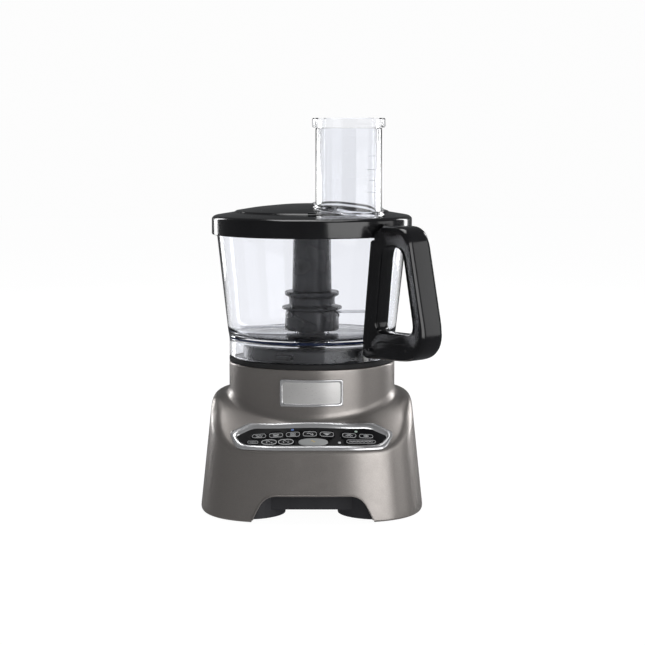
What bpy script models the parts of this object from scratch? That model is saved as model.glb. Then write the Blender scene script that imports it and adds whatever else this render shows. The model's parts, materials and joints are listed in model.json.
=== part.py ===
"""Food processor: motor base with a keypad, clear bowl with a handle, twin-blade knife, lid, feed tube and pusher.

Units are metres, +Z is up and the front faces -Y. The spindle's axis is at the assembly's own origin,
and an empty carries the whole assembly so that the overall box is centred on the world's origin.
"""

import math

import bmesh
import bpy
import numpy as np
from mathutils import Matrix, Vector

MM = 0.001
GAP = 0.3 * MM
TAU = math.tau

# Where the spindle's axis stands in the world, so that the overall box is centred on the origin.
SPINDLE_X = -7.73 * MM
SPINDLE_Y = 7.64 * MM

# Motor base: a rounded block whose front corners fall away to a sloping deck round a round neck.
BASE_HALF = 118 * MM
BASE_TAPER = 0.104
BASE_POWER = 3.2
FRONT_STRETCH = 1.055
BASE_WALL = 3 * MM
BASE_BOTTOM = 1.5 * MM
CREASE_FRONT = 72.5 * MM
CREASE_SIDE = 117 * MM
CREASE_FROM = math.radians(33)
CREASE_TO = math.radians(80)
NECK_RADIUS = 88.3 * MM
NECK_TOP = 152.3 * MM
JUNCTION_FRONT = 101.5 * MM
JUNCTION_RISE = 21.5 * MM
BASE_COLUMNS = 40

# Arch under the front wall, the pan behind it and the feet.
ARCH_HALF_TOP = 44 * MM
ARCH_HALF_FLOOR = 62 * MM
ARCH_HEIGHT = 29 * MM
ARCH_SHIFT = 1.5 * MM
PAN_LEVEL = 11 * MM
PAN_THICK = 3 * MM
PAN_FRONT = -101 * MM
POD_RADIUS = 41 * MM
POD_X = 68 * MM
POD_Y = 70 * MM
FOOT_RADIUS = 11 * MM
FOOT_HEIGHT = 2.5 * MM
FOOT_PLACES = [(x * 74 * MM, y * 74 * MM) for y in (-1, 1) for x in (-1, 1)]
GLAND_HEIGHT = 28 * MM

# Keypad.
PANEL_RUN = 23 * MM
PANEL_SLOPE = math.radians(47)
PANEL_INSET = 6.5 * MM
TOP_CORNER = 65 * MM
TOP_RISE = 0.22
PANEL_SEAT = 0.8 * MM
FACE_TOP = 0.4 * MM
KEY_TRAVEL = 0.8 * MM
KEY_PROUD = 0.9 * MM
KEY_DEPTH = 2.2 * MM
KEY_GAP = 0.45 * MM

# Deck on top of the base, with the drum that the bowl's skirt fits over.
DECK_TOP = 158 * MM
DRUM_RADIUS = 73 * MM
DRUM_TOP = 171.5 * MM
DECK_RADIUS = 83.6 * MM
LUG_ANGLES = [math.radians(a) for a in (-112, 8, 128)]
PLUNGER_RADIUS = 80 * MM
BADGE_HALF = 32 * MM
BADGE_LOW = 114.7 * MM
BADGE_HIGH = 142.5 * MM

# Motor and planetary reduction: a fixed ring of 48 teeth, three planets of 18 and a sun of 12.
MODULE = 1.25 * MM
RING_TEETH = 48
PLANET_TEETH = 18
SUN_TEETH = 12
PRESSURE_ANGLE = math.radians(25)
ADDENDUM = 0.7
DEDENDUM = 1.0
BACKLASH = 0.28 * MM
GEAR_BOTTOM = 106 * MM
GEAR_TOP = 117 * MM
ORBIT = MODULE * (PLANET_TEETH + SUN_TEETH) / 2
MOTOR_SHAFT_RADIUS = 4 * MM
DRIVE_SHAFT_RADIUS = 12 * MM
SHAFT_TOP = 214 * MM
PLANET_ANGLES = [math.radians(a) for a in (90, 210, 330)]

# Bowl, handle and lid.
BOWL_FLOOR = 181 * MM
BOWL_LOW_RADIUS = 89.4 * MM
BOWL_LOW = 184 * MM
BOWL_HIGH_RADIUS = 100.3 * MM
BOWL_HIGH = 281 * MM
BOWL_RIM = 291 * MM
BOWL_WALL = 3 * MM
SKIRT_RADIUS = 88 * MM
LID_RADIUS = 106.5 * MM
LID_BOTTOM = 287.6 * MM
LID_EDGE_TOP = 307 * MM
LID_CROWN = 320 * MM
HANDLE_ANGLE = math.radians(-46)
HANDLE_HALF = 15.5 * MM
ROD_RADIUS = 2 * MM
ROD_OFFSET = 7.7 * MM
TUBE_X = 38.6 * MM
TUBE_Y = -40 * MM
TUBE_HALF = 34.6 * MM
TUBE_TOP = 399.7 * MM
TUBE_POWER = 2.3
TUBE_WALL = 2.6 * MM
PUSHER_RIM = 38.2 * MM
PUSHER_BOTTOM = 306 * MM
OVERALL_HEIGHT = 410 * MM


def material(name, colour, roughness, metallic=0.0, transmission=0.0):
    made = bpy.data.materials.new(name)
    made.use_nodes = True
    shader = made.node_tree.nodes["Principled BSDF"]
    shader.inputs["Base Color"].default_value = (*colour, 1)
    shader.inputs["Roughness"].default_value = roughness
    shader.inputs["Metallic"].default_value = metallic
    shader.inputs["Transmission Weight"].default_value = transmission
    made.diffuse_color = (*colour, 1)
    return made


def add(name, mesh, finish, location=(0, 0, 0), collection=None, parent=None):
    """Puts a mesh in the scene as one sub-part, carried by the assembly's origin."""
    mesh.name = name
    made = bpy.data.objects.new(name, mesh)
    (collection or parts).objects.link(made)
    made.parent = parent or assembly
    made.location = location
    if finish:
        mesh.materials.append(finish)
    mesh.shade_smooth()
    mesh.set_sharp_from_angle(angle=math.radians(35))
    return made


def mesh_of(builder):
    """A mesh from a filled bmesh, with its faces turned outwards."""
    bmesh.ops.recalc_face_normals(builder, faces=builder.faces)
    mesh = bpy.data.meshes.new("mesh")
    builder.to_mesh(mesh)
    builder.free()
    return mesh


def box(name, finish, low, high, **more):
    builder = bmesh.new()
    bmesh.ops.create_cube(builder, size=1)
    low, high = Vector(low), Vector(high)
    centre = (low + high) / 2
    size = high - low
    bmesh.ops.scale(builder, vec=size, verts=builder.verts)
    return add(name, mesh_of(builder), finish, centre, **more)


def rod_between(name, finish, start, end, radius, sides=20, **more):
    """A straight cylinder between two points."""
    start, end = Vector(start), Vector(end)
    builder = bmesh.new()
    length = (end - start).length
    bmesh.ops.create_cone(builder, cap_ends=True, segments=sides, radius1=radius, radius2=radius, depth=length)
    made = add(name, mesh_of(builder), finish, (start + end) / 2, **more)
    made.rotation_mode = "QUATERNION"
    made.rotation_quaternion = (end - start).to_track_quat("Z", "Y")
    return made


def turned(name, finish, profile, steps=40, location=(0, 0, 0), **more):
    """A profile of (radius, height) points turned about +Z: its outer side runs from top to bottom."""
    mesh = bpy.data.meshes.new(name)
    points = [(radius, 0, height) for radius, height in profile]
    count = len(points)
    edges = [(i, i + 1) for i in range(count - 1)]
    if profile[0][0] > 0:
        edges.append((count - 1, 0))
    mesh.from_pydata(points, edges, [])
    made = add(name, mesh, finish, location, **more)
    screw = made.modifiers.new("turn", "SCREW")
    screw.steps = steps
    screw.render_steps = steps
    screw.use_merge_vertices = True
    screw.merge_threshold = 0.00001
    screw.use_smooth_shade = True
    return made


def plate(name, finish, outlines, low, high, location=(0, 0, 0), **more):
    """Flat outlines, the first one outside and the rest holes, extruded from one height to another."""
    curve = bpy.data.curves.new(name, "CURVE")
    curve.dimensions = "2D"
    curve.fill_mode = "BOTH"
    curve.extrude = (high - low) / 2
    for outline in outlines:
        spline = curve.splines.new("POLY")
        spline.points.add(len(outline) - 1)
        for point, (x, y) in zip(spline.points, outline):
            point.co = (x, y, 0, 1)
        spline.use_cyclic_u = True
    helper = bpy.data.objects.new("outline", curve)
    bpy.context.scene.collection.objects.link(helper)
    bpy.context.view_layer.update()
    evaluated = helper.evaluated_get(bpy.context.evaluated_depsgraph_get())
    mesh = bpy.data.meshes.new_from_object(evaluated)
    bpy.data.objects.remove(helper)
    mesh.materials.clear()
    mesh.transform(Matrix.Translation((0, 0, (low + high) / 2)))
    builder = bmesh.new()
    builder.from_mesh(mesh)
    bmesh.ops.remove_doubles(builder, verts=builder.verts, dist=0.000001)
    return add(name, mesh_of(builder), finish, location, **more)


def cut(target, *tools, operation="DIFFERENCE"):
    for tool in tools:
        step = target.modifiers.new(operation.lower(), "BOOLEAN")
        step.operation = operation
        step.object = tool


def bevel(target, width, segments=2, angle=40):
    rounded = target.modifiers.new("round", "BEVEL")
    rounded.width = width
    rounded.segments = segments
    rounded.limit_method = "ANGLE"
    rounded.angle_limit = math.radians(angle)


def circle(radius, count, centre=(0, 0), phase=0.0):
    angles = [phase + TAU * i / count for i in range(count)]
    return [(centre[0] + radius * math.cos(a), centre[1] + radius * math.sin(a)) for a in angles]


def rounded_corners(points, radii, steps=3, closed=True):
    """Replaces each corner by a short curve that starts and ends at the given distance from it."""
    out = []
    count = len(points)
    for i, corner in enumerate(points):
        corner = np.array(corner, float)
        reach = radii[i]
        if reach <= 0 or (not closed and i in (0, count - 1)):
            out.append(tuple(corner))
            continue
        before = np.array(points[i - 1], float) - corner
        after = np.array(points[(i + 1) % count], float) - corner
        start = corner + before / np.linalg.norm(before) * reach
        end = corner + after / np.linalg.norm(after) * reach
        for k in range(steps + 1):
            t = k / steps
            out.append(tuple((1 - t) ** 2 * start + 2 * t * (1 - t) * corner + t * t * end))
    return out


def rounded_box(half_x, half_y, radius, centre=(0, 0), steps=3):
    corners = [(half_x, half_y), (-half_x, half_y), (-half_x, -half_y), (half_x, -half_y)]
    corners = [(x + centre[0], y + centre[1]) for x, y in corners]
    return rounded_corners(corners, [radius] * 4, steps)


def power_radius(angle, half_x, half_y, power):
    """Radius of a superellipse in one direction."""
    along = abs(math.cos(angle) / half_x) ** power
    across = abs(math.sin(angle) / half_y) ** power
    return (along + across) ** (-1 / power)


def power_outline(half, power, count):
    angles = [TAU * i / count for i in range(count)]
    radii = [power_radius(a, half, half, power) for a in angles]
    return [(r * math.cos(a), r * math.sin(a)) for r, a in zip(radii, angles)]


def ring_loft(rings, closed_profile):
    """Quads between rings of points; the ring list may close on itself, or be capped at both ends."""
    builder = bmesh.new()
    rows = [[builder.verts.new(point) for point in ring] for ring in rings]
    count = len(rows[0])
    last = len(rows) if closed_profile else len(rows) - 1
    for j in range(last):
        lower, upper = rows[j], rows[(j + 1) % len(rows)]
        for i in range(count):
            k = (i + 1) % count
            builder.faces.new((lower[i], lower[k], upper[k], upper[i]))
    if not closed_profile:
        builder.faces.new(rows[0])
        builder.faces.new(rows[-1])
    return mesh_of(builder)


def smoothstep(low, high, value):
    t = min(max((value - low) / (high - low), 0), 1)
    return t * t * (3 - 2 * t)


# ---- the base's outer surface, as functions of the angle round the spindle ----


def from_front(angle):
    """Angle away from the front, 0 to pi, of a direction given from +X."""
    return abs(math.remainder(angle + math.pi / 2, TAU))


def wall_radius(angle, height):
    half = BASE_HALF - BASE_TAPER * height
    stretch = FRONT_STRETCH if math.sin(angle) < 0 else 1
    return power_radius(angle, half, half * stretch, BASE_POWER)


def crease_height(angle):
    rise = smoothstep(CREASE_FROM, CREASE_TO, from_front(angle))
    return CREASE_FRONT + (CREASE_SIDE - CREASE_FRONT) * rise


def junction_height(angle):
    turn = 1 - math.cos(from_front(angle))
    return JUNCTION_FRONT + JUNCTION_RISE * (1 - math.exp(-turn / 0.8))


def deck_height(x, y):
    """Height of the sloping deck between the wall's crease and the foot of the neck."""
    angle = math.atan2(y, x)
    crease, junction = crease_height(angle), junction_height(angle)
    edge = wall_radius(angle, crease)
    inward = (edge - math.hypot(x, y)) / (edge - NECK_RADIUS)
    return crease + inward * (junction - crease)


def base_column(angle):
    """(radius, height) points up the base's outer surface in one direction."""
    crease, junction = crease_height(angle), junction_height(angle)
    side = smoothstep(CREASE_FROM, CREASE_TO, from_front(angle))
    corners = [
        (wall_radius(angle, BASE_BOTTOM) - 5 * MM, BASE_BOTTOM),
        (wall_radius(angle, BASE_BOTTOM), BASE_BOTTOM),
        (wall_radius(angle, crease), crease),
        (NECK_RADIUS, junction),
        (NECK_RADIUS, NECK_TOP),
        (NECK_RADIUS - 4.8 * MM, NECK_TOP),
    ]
    reach = [0, 4.5 * MM, (3 + 10 * side) * MM, (4.5 + 3 * side) * MM, 1.2 * MM, 0]
    return rounded_corners(corners, reach, 3, closed=False)


def make_base_housing():
    """The painted outer shell, open underneath and at the top of the neck."""
    angles = [TAU * i / BASE_COLUMNS for i in range(BASE_COLUMNS)]
    columns = [base_column(a) for a in angles]
    builder = bmesh.new()
    rows = []
    for j in range(len(columns[0])):
        ring = [(c[j][0] * math.cos(a), c[j][0] * math.sin(a), c[j][1]) for a, c in zip(angles, columns)]
        rows.append([builder.verts.new(point) for point in ring])
    for lower, upper in zip(rows, rows[1:]):
        for i in range(BASE_COLUMNS):
            k = (i + 1) % BASE_COLUMNS
            builder.faces.new((lower[i], lower[k], upper[k], upper[i]))
    housing = add("base_housing", mesh_of(builder), grey_paint)
    shell = housing.modifiers.new("wall", "SOLIDIFY")
    shell.thickness = BASE_WALL
    shell.offset = -1
    cut(housing, arch_cutter(), panel_cutter(), gland_cutter())


def arch_outline():
    corners = [
        (-ARCH_HALF_FLOOR - 4 * MM, -10 * MM),
        (ARCH_HALF_FLOOR + 4 * MM, -10 * MM),
        (ARCH_HALF_FLOOR - 1 * MM, 6 * MM),
        (ARCH_HALF_TOP + 5 * MM, ARCH_HEIGHT),
        (-ARCH_HALF_TOP - 5 * MM, ARCH_HEIGHT),
        (-ARCH_HALF_FLOOR + 1 * MM, 6 * MM),
    ]
    return rounded_corners(corners, [0, 0, 8 * MM, 13 * MM, 13 * MM, 8 * MM], 4)


def arch_cutter():
    """A prism along Y through the front wall only."""
    made = plate("arch_cutter", None, [arch_outline()], 0, 60 * MM, collection=cutters)
    made.rotation_euler = (math.radians(90), 0, 0)
    made.location = (ARCH_SHIFT, -80 * MM, 0)
    return made


def panel_point(x, along):
    """Plan position on the keypad: along runs from 0 at its lower edge to 1 at its upper edge."""
    half = BASE_HALF - BASE_TAPER * CREASE_FRONT
    front = half * FRONT_STRETCH * (1 - (abs(x) / half) ** BASE_POWER) ** (1 / BASE_POWER)
    return x, -front + 1.2 * MM + along * PANEL_RUN


def panel_edge(inset=0.0, points_along=12):
    """Plan outline of the keypad, drawn in by an inset: a long hexagon that follows the base's curved front."""
    sink = inset / PANEL_RUN * 0.55
    low = [(-76 * MM + inset, sink), (76 * MM - inset, sink)]
    side = [(85 * MM - inset, 0.4), (TOP_CORNER - inset * 0.7, 1 - sink)]
    high = [(-TOP_CORNER + inset * 0.7, 1 - sink), (-85 * MM + inset, 0.4)]
    corners = low + side + high
    out = []
    for i, (x, along) in enumerate(corners):
        following = corners[(i + 1) % len(corners)]
        steps = points_along if abs(following[1] - along) < 0.01 else 2
        for k in range(steps):
            t = k / steps
            across, up = x + t * (following[0] - x), along + t * (following[1] - along)
            out.append(panel_point(across, up * (1 + TOP_RISE * (across / TOP_CORNER) ** 2)))
    return out


def draped(name, finish, outline, low, high, hole=None, **more):
    """A plate that follows the deck: a plan outline between two heights above the deck's surface."""
    builder = bmesh.new()

    def ring(points, lift):
        return [builder.verts.new((x, y, deck_height(x, y) + lift)) for x, y in points]

    count = len(outline)
    top, bottom = ring(outline, high), ring(outline, low)
    for i in range(count):
        k = (i + 1) % count
        builder.faces.new((bottom[i], bottom[k], top[k], top[i]))
    if hole:
        inner_top, inner_bottom = ring(hole, high), ring(hole, low)
        for i in range(count):
            k = (i + 1) % count
            builder.faces.new((inner_bottom[k], inner_bottom[i], inner_top[i], inner_top[k]))
            builder.faces.new((top[i], top[k], inner_top[k], inner_top[i]))
            builder.faces.new((bottom[k], bottom[i], inner_bottom[i], inner_bottom[k]))
    else:
        fill_across(builder, outline, top, high, ring)
        fill_across(builder, outline, bottom, low, ring)
    return add(name, mesh_of(builder), finish, **more)


def fill_across(builder, outline, edge, lift, ring, steps=3):
    """Fills a long outline by rows of points that cross it the short way and follow the deck."""
    count = len(outline)
    rows = []
    for i in range(count // 2):
        j = count - 1 - i
        (ax, ay), (bx, by) = outline[i], outline[j]
        between = []
        if 0 < i < count // 2 - 1 and math.dist(outline[i], outline[j]) > 9 * MM:
            fractions = [k / steps for k in range(1, steps)]
            between = ring([(ax + t * (bx - ax), ay + t * (by - ay)) for t in fractions], lift)
        rows.append([edge[i], *between, edge[j]])
    for before, after in zip(rows, rows[1:]):
        if len(before) == len(after):
            for k in range(len(before) - 1):
                builder.faces.new((before[k], after[k], after[k + 1], before[k + 1]))
        else:
            builder.faces.new(before + after[::-1])
    if count % 2:
        builder.faces.new((rows[-1][0], edge[count // 2], rows[-1][-1]))


def panel_cutter():
    return draped("panel_cutter", None, panel_edge(PANEL_INSET * 0.6), -14 * MM, 14 * MM, collection=cutters)


def gland_cutter():
    start, end = (0, 100 * MM, GLAND_HEIGHT), (0, 130 * MM, GLAND_HEIGHT)
    return rod_between("gland_cutter", None, start, end, 7.6 * MM, collection=cutters)


def base_outline(half, count=44):
    angles = [TAU * i / count for i in range(count)]
    out = []
    for a in angles:
        stretch = FRONT_STRETCH if math.sin(a) < 0 else 1
        r = power_radius(a, half, half * stretch, BASE_POWER)
        out.append((r * math.cos(a), r * math.sin(a)))
    return out


def make_base_pan():
    """The dark floor of the base, with a recess behind the front arch and a round pod over each foot."""
    half = BASE_HALF - 7.5 * MM
    low, high = FOOT_HEIGHT + GAP, ARCH_HEIGHT + 5 * MM
    pan = plate("base_pan", dark_plastic, [base_outline(half)], PAN_LEVEL, PAN_LEVEL + PAN_THICK)
    bay = box("bay_cutter", None, (-64 * MM, -140 * MM, 0), (64 * MM, PAN_FRONT, 60 * MM), collection=cutters)
    wall = box(
        "bay_wall", None, (-62 * MM, PAN_FRONT, PAN_LEVEL), (62 * MM, PAN_FRONT + 3 * MM, high), collection=cutters
    )
    roof = box(
        "bay_roof", None, (-62 * MM, -130 * MM, high - 2.5 * MM), (62 * MM, PAN_FRONT + 2 * MM, high), collection=cutters
    )
    pods = []
    for x in (-POD_X, POD_X):
        for y in (-POD_Y, POD_Y):
            top = high if y < 0 else PAN_LEVEL + 2 * MM
            pods.append(
                rod_between("pod", None, (x, y, low), (x, y, top), POD_RADIUS, 36, collection=cutters)
            )
    bounds = plate("pan_bounds", None, [base_outline(half)], 0, 80 * MM, collection=cutters)
    cut(pan, bay)
    cut(pan, wall, roof, *pods, operation="UNION")
    cut(pan, bounds, operation="INTERSECT")


def make_feet():
    for i, (x, y) in enumerate(FOOT_PLACES, 1):
        profile = [
            (0, FOOT_HEIGHT),
            (FOOT_RADIUS, FOOT_HEIGHT),
            (FOOT_RADIUS, 0.6 * MM),
            (FOOT_RADIUS - 0.6 * MM, 0),
            (0, 0),
        ]
        turned(f"foot_{i}", rubber, profile, 20, (x, y, 0))


def ring_profile(inner, outer, low, high):
    return [(inner, high), (outer, high), (outer, low), (inner, low)]


def make_drive_deck():
    """Black plate on top of the neck, with the drum that centres the bowl and three locking lugs."""
    low = NECK_TOP + 0.7 * MM
    profile = [
        (14.5 * MM, DRUM_TOP),
        (DRUM_RADIUS - 3 * MM, DRUM_TOP),
        (DRUM_RADIUS, DRUM_TOP - 3 * MM),
        (DRUM_RADIUS, DECK_TOP),
        (DECK_RADIUS, DECK_TOP),
        (DECK_RADIUS, low),
        (DRUM_RADIUS - 3 * MM, low),
        (DRUM_RADIUS - 3 * MM, DRUM_TOP - 4.5 * MM),
        (14.5 * MM, DRUM_TOP - 3 * MM),
    ]
    deck = turned("drive_deck", black_plastic, profile, 36)
    lugs = []
    for angle in LUG_ANGLES:
        lug = box(
            "lug", None, (-4 * MM, -9 * MM, 161 * MM), (5.4 * MM, 9 * MM, 166 * MM), collection=cutters
        )
        across = Matrix.Rotation(angle, 4, "Z") @ Matrix.Translation((DRUM_RADIUS, 0, 163.5 * MM))
        lug.matrix_local = across
        lugs.append(lug)
    cut(deck, *lugs, operation="UNION")
    x, y = radial(PLUNGER_RADIUS)
    start, end = (x, y, 145 * MM), (x, y, 165 * MM)
    cut(deck, rod_between("plunger_hole", None, start, end, 2.9 * MM, 14, collection=cutters))
    turned("collar_ring", rubber, ring_profile(DECK_RADIUS + GAP, 88.2 * MM, NECK_TOP + GAP, DECK_TOP - GAP), 36)


def radial(distance, angle=HANDLE_ANGLE):
    return distance * math.cos(angle), distance * math.sin(angle)


def make_badge():
    """Blank bright plate curved with the neck."""
    half_angle = math.asin(BADGE_HALF / NECK_RADIUS)
    inner, outer = NECK_RADIUS + GAP, NECK_RADIUS + 2.4 * MM
    sections = []
    for i in range(11):
        angle = -math.pi / 2 + half_angle * (i / 5 - 1)
        corners = ((inner, BADGE_LOW), (outer, BADGE_LOW), (outer, BADGE_HIGH), (inner, BADGE_HIGH))
        sections.append([(r * math.cos(angle), r * math.sin(angle), z) for r, z in corners])
    badge = add("badge_plate", ring_loft(sections, closed_profile=False), chrome)
    bevel(badge, 0.8 * MM, 1)


# ---- keypad ----


def key_outline(x, along, half_x, half_y):
    """Plan outline of a key with round ends; its long edges have extra points, to follow the deck."""
    flat = rounded_box(half_x, half_y, min(half_x, half_y) * 0.95, steps=2)
    out = []
    for i, (px, py) in enumerate(flat):
        following = flat[(i + 1) % len(flat)]
        steps = max(1, round(abs(following[0] - px) / (6 * MM)))
        for k in range(steps):
            t = k / steps
            dx, dy = px + t * (following[0] - px), py + t * (following[1] - py)
            out.append(panel_point(x + dx, along + dy * math.cos(PANEL_SLOPE) / PANEL_RUN))
    return out


def make_keypad():
    draped(
        "panel_frame",
        chrome,
        panel_edge(0),
        PANEL_SEAT,
        PANEL_SEAT + 1.6 * MM,
        hole=panel_edge(PANEL_INSET),
    )
    face = draped("panel_face", black_gloss, panel_edge(PANEL_INSET * 0.66), -2.2 * MM, FACE_TOP)
    for name, x, along, half_x, half_y, finish in KEYS:
        outline = key_outline(x, along, half_x, half_y)
        draped(name, finish, outline, FACE_TOP + KEY_PROUD - KEY_DEPTH, FACE_TOP + KEY_PROUD)
        # A key moves square to the sloping deck, so its upright hole leaves room on the uphill side.
        drift = KEY_TRAVEL * math.sin(PANEL_SLOPE)
        room = GAP + drift / 2 / math.cos(PANEL_SLOPE)
        wider = key_outline(x, along + drift / 2 / PANEL_RUN, half_x + KEY_GAP, half_y + room)
        cut(face, draped("key_hole", None, wider, -8 * MM, 6 * MM, collection=cutters))
    board = box(
        "control_board", circuit, (-46 * MM, -10 * MM, -0.8 * MM), (46 * MM, 10 * MM, 0.8 * MM)
    )
    board.location = (0, -95.5 * MM, 74.5 * MM)
    board.rotation_euler = (PANEL_SLOPE, 0, 0)


# ---- motor and reduction ----


def gear_outline(teeth, tip, root, thickness):
    """Involute outline of an external gear; a tooth is centred on +X."""
    pitch = MODULE * teeth / 2
    base = pitch * math.cos(PRESSURE_ANGLE)
    involute = math.tan(PRESSURE_ANGLE) - PRESSURE_ANGLE

    def half_angle(radius):
        pressure = math.acos(min(base / radius, 1))
        return thickness / 2 / pitch + involute - (math.tan(pressure) - pressure)

    out = []
    low = max(root, base)
    flank = [low, tip]
    for i in range(teeth):
        centre = TAU * i / teeth
        rising = [(root, centre - half_angle(low) - 0.02)] if root < base else []
        rising += [(r, centre - half_angle(r)) for r in flank]
        falling = [(r, 2 * centre - a) for r, a in reversed(rising)]
        out += [(r * math.cos(a), r * math.sin(a)) for r, a in rising + falling]
    return out


def turn_outline(outline, angle):
    c, s = math.cos(angle), math.sin(angle)
    return [(x * c - y * s, x * s + y * c) for x, y in outline]


def external_gear(teeth):
    pitch = MODULE * teeth / 2
    thickness = math.pi * MODULE / 2 - BACKLASH
    return gear_outline(teeth, pitch + ADDENDUM * MODULE, pitch - DEDENDUM * MODULE, thickness)


def make_gears():
    pitch = MODULE * RING_TEETH / 2
    space = math.pi * MODULE / 2 + BACKLASH
    spaces = gear_outline(RING_TEETH, pitch + DEDENDUM * MODULE, pitch - ADDENDUM * MODULE, space)
    spaces = turn_outline(spaces, math.pi / RING_TEETH)
    housing = plate("gearbox_housing", dark_plastic, [circle(40 * MM, 40), spaces], 105 * MM, 118 * MM)
    floor = plate(
        "gearbox_floor", None, [circle(40 * MM, 40), circle(9.8 * MM, 20)], 102.5 * MM, 105.3 * MM, collection=cutters
    )
    cut(housing, floor, operation="UNION")
    cover = [
        (14.5 * MM, 131 * MM),
        (40 * MM, 131 * MM),
        (40 * MM, 118.4 * MM),
        (32 * MM, 118.4 * MM),
        (32 * MM, 127 * MM),
        (14.5 * MM, 127 * MM),
    ]
    turned("gearbox_cover", dark_plastic, cover, 24)
    turned("output_bushing", bronze, ring_profile(12.3 * MM, 14.2 * MM, 125.5 * MM, 134 * MM), 24)
    plate("sun_gear", steel, [external_gear(SUN_TEETH), circle(4.3 * MM, 16)], GEAR_BOTTOM, GEAR_TOP)
    carrier = turned(
        "planet_carrier",
        steel,
        [(0, 123.5 * MM), (27 * MM, 123.5 * MM), (27 * MM, 119 * MM), (0, 119 * MM)],
        32,
    )
    for i, angle in enumerate(PLANET_ANGLES, 1):
        centre = (ORBIT * math.cos(angle), ORBIT * math.sin(angle))
        phase = angle + math.pi / PLANET_TEETH
        outline = turn_outline(external_gear(PLANET_TEETH), phase)
        plate(
            f"planet_gear_{i}",
            nylon,
            [outline, circle(2.7 * MM, 12)],
            GEAR_BOTTOM + 0.5 * MM,
            GEAR_TOP - 0.5 * MM,
            (*centre, 0),
        )
        pin = rod_between(
            "planet_pin", None, (*centre, GEAR_BOTTOM + 1 * MM), (*centre, 120 * MM), 2.4 * MM, 12, collection=cutters
        )
        cut(carrier, pin, operation="UNION")
    shaft = [
        (0, SHAFT_TOP),
        (DRIVE_SHAFT_RADIUS - 2 * MM, SHAFT_TOP),
        (DRIVE_SHAFT_RADIUS, SHAFT_TOP - 2 * MM),
        (DRIVE_SHAFT_RADIUS, 124 * MM),
        (0, 124 * MM),
    ]
    turned("drive_shaft", steel, shaft, 28)


def slotted_outline(outer, depth, slots, share):
    """A round outline with slots cut into it, for the armature, or with blades standing out, for the fan."""
    out = []
    for i in range(slots):
        start = TAU * i / slots
        land = TAU / slots * share
        middle = start + land / 2
        out += [(outer, start), (outer / math.cos(land / 2), middle), (outer, start + land)]
        out += [(outer - depth, start + land + 0.02), (outer - depth, start + TAU / slots - 0.02)]
    return [(r * math.cos(a), r * math.sin(a)) for r, a in out]


def make_motor():
    shaft = MOTOR_SHAFT_RADIUS + GAP
    rod_between("motor_shaft", steel, (0, 0, 14.6 * MM), (0, 0, 118 * MM), MOTOR_SHAFT_RADIUS, 16)
    plate("armature", copper, [slotted_outline(24 * MM, 5 * MM, 12, 0.7), circle(shaft, 16)], 38 * MM, 76 * MM)
    turned("commutator", copper, ring_profile(shaft, 11 * MM, 85 * MM, 95 * MM), 24)
    plate("cooling_fan", nylon, [slotted_outline(38 * MM, 24 * MM, 9, 0.12), circle(shaft, 16)], 21 * MM, 31 * MM)
    turned("motor_stator", steel, ring_profile(24.9 * MM, 46 * MM, 36.3 * MM, 77.7 * MM), 24)
    lower = [
        (42.9 * MM, 36 * MM),
        (46 * MM, 36 * MM),
        (46 * MM, 15 * MM),
        (9.3 * MM, 15 * MM),
        (9.3 * MM, 19 * MM),
        (42.9 * MM, 19 * MM),
    ]
    turned("lower_motor_bracket", aluminium, lower, 24)
    upper = [
        (9.3 * MM, 102 * MM),
        (46 * MM, 102 * MM),
        (46 * MM, 78 * MM),
        (42.9 * MM, 78 * MM),
        (42.9 * MM, 98 * MM),
        (9.3 * MM, 98 * MM),
    ]
    turned("upper_motor_bracket", aluminium, upper, 24)
    turned("lower_bearing", bronze, ring_profile(shaft, 9 * MM, 14.5 * MM, 19.5 * MM), 24)
    turned("upper_bearing", bronze, ring_profile(shaft, 9 * MM, 97.5 * MM, 102.2 * MM), 24)
    for i, side in enumerate((-1, 1), 1):
        low, high = sorted((side * 11.4 * MM, side * 27 * MM))
        box(f"carbon_brush_{i}", carbon, (low, -3 * MM, 87 * MM), (high, 3 * MM, 93 * MM))


def make_switch_and_gland():
    x, y = radial(PLUNGER_RADIUS)
    rod_between("interlock_plunger", nylon, (x, y, 139.5 * MM), (x, y, 165.6 * MM), 2.4 * MM, 14)
    x, y = radial(PLUNGER_RADIUS - 6 * MM)
    low, high = (x - 5 * MM, y - 6 * MM, 122 * MM), (x + 5 * MM, y + 6 * MM, 139 * MM)
    box("interlock_switch", dark_plastic, low, high)
    profile = [
        (3.6 * MM, 15 * MM),
        (5.5 * MM, 15 * MM),
        (6.2 * MM, 12.8 * MM),
        (10 * MM, 12.2 * MM),
        (10 * MM, 10.4 * MM),
        (7.2 * MM, 10.4 * MM),
        (7.2 * MM, 0),
        (3.6 * MM, 0),
    ]
    gland = turned("cord_gland", rubber, profile, 16, (0, 106.5 * MM, GLAND_HEIGHT))
    gland.rotation_euler = (math.radians(-90), 0, 0)


# ---- bowl, knife and lid ----


def bowl_radius(height):
    """Radius of the bowl's tapered outer wall."""
    grow = (BOWL_HIGH_RADIUS - BOWL_LOW_RADIUS) / (BOWL_HIGH - BOWL_LOW)
    return BOWL_LOW_RADIUS + grow * (height - BOWL_LOW)


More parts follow.
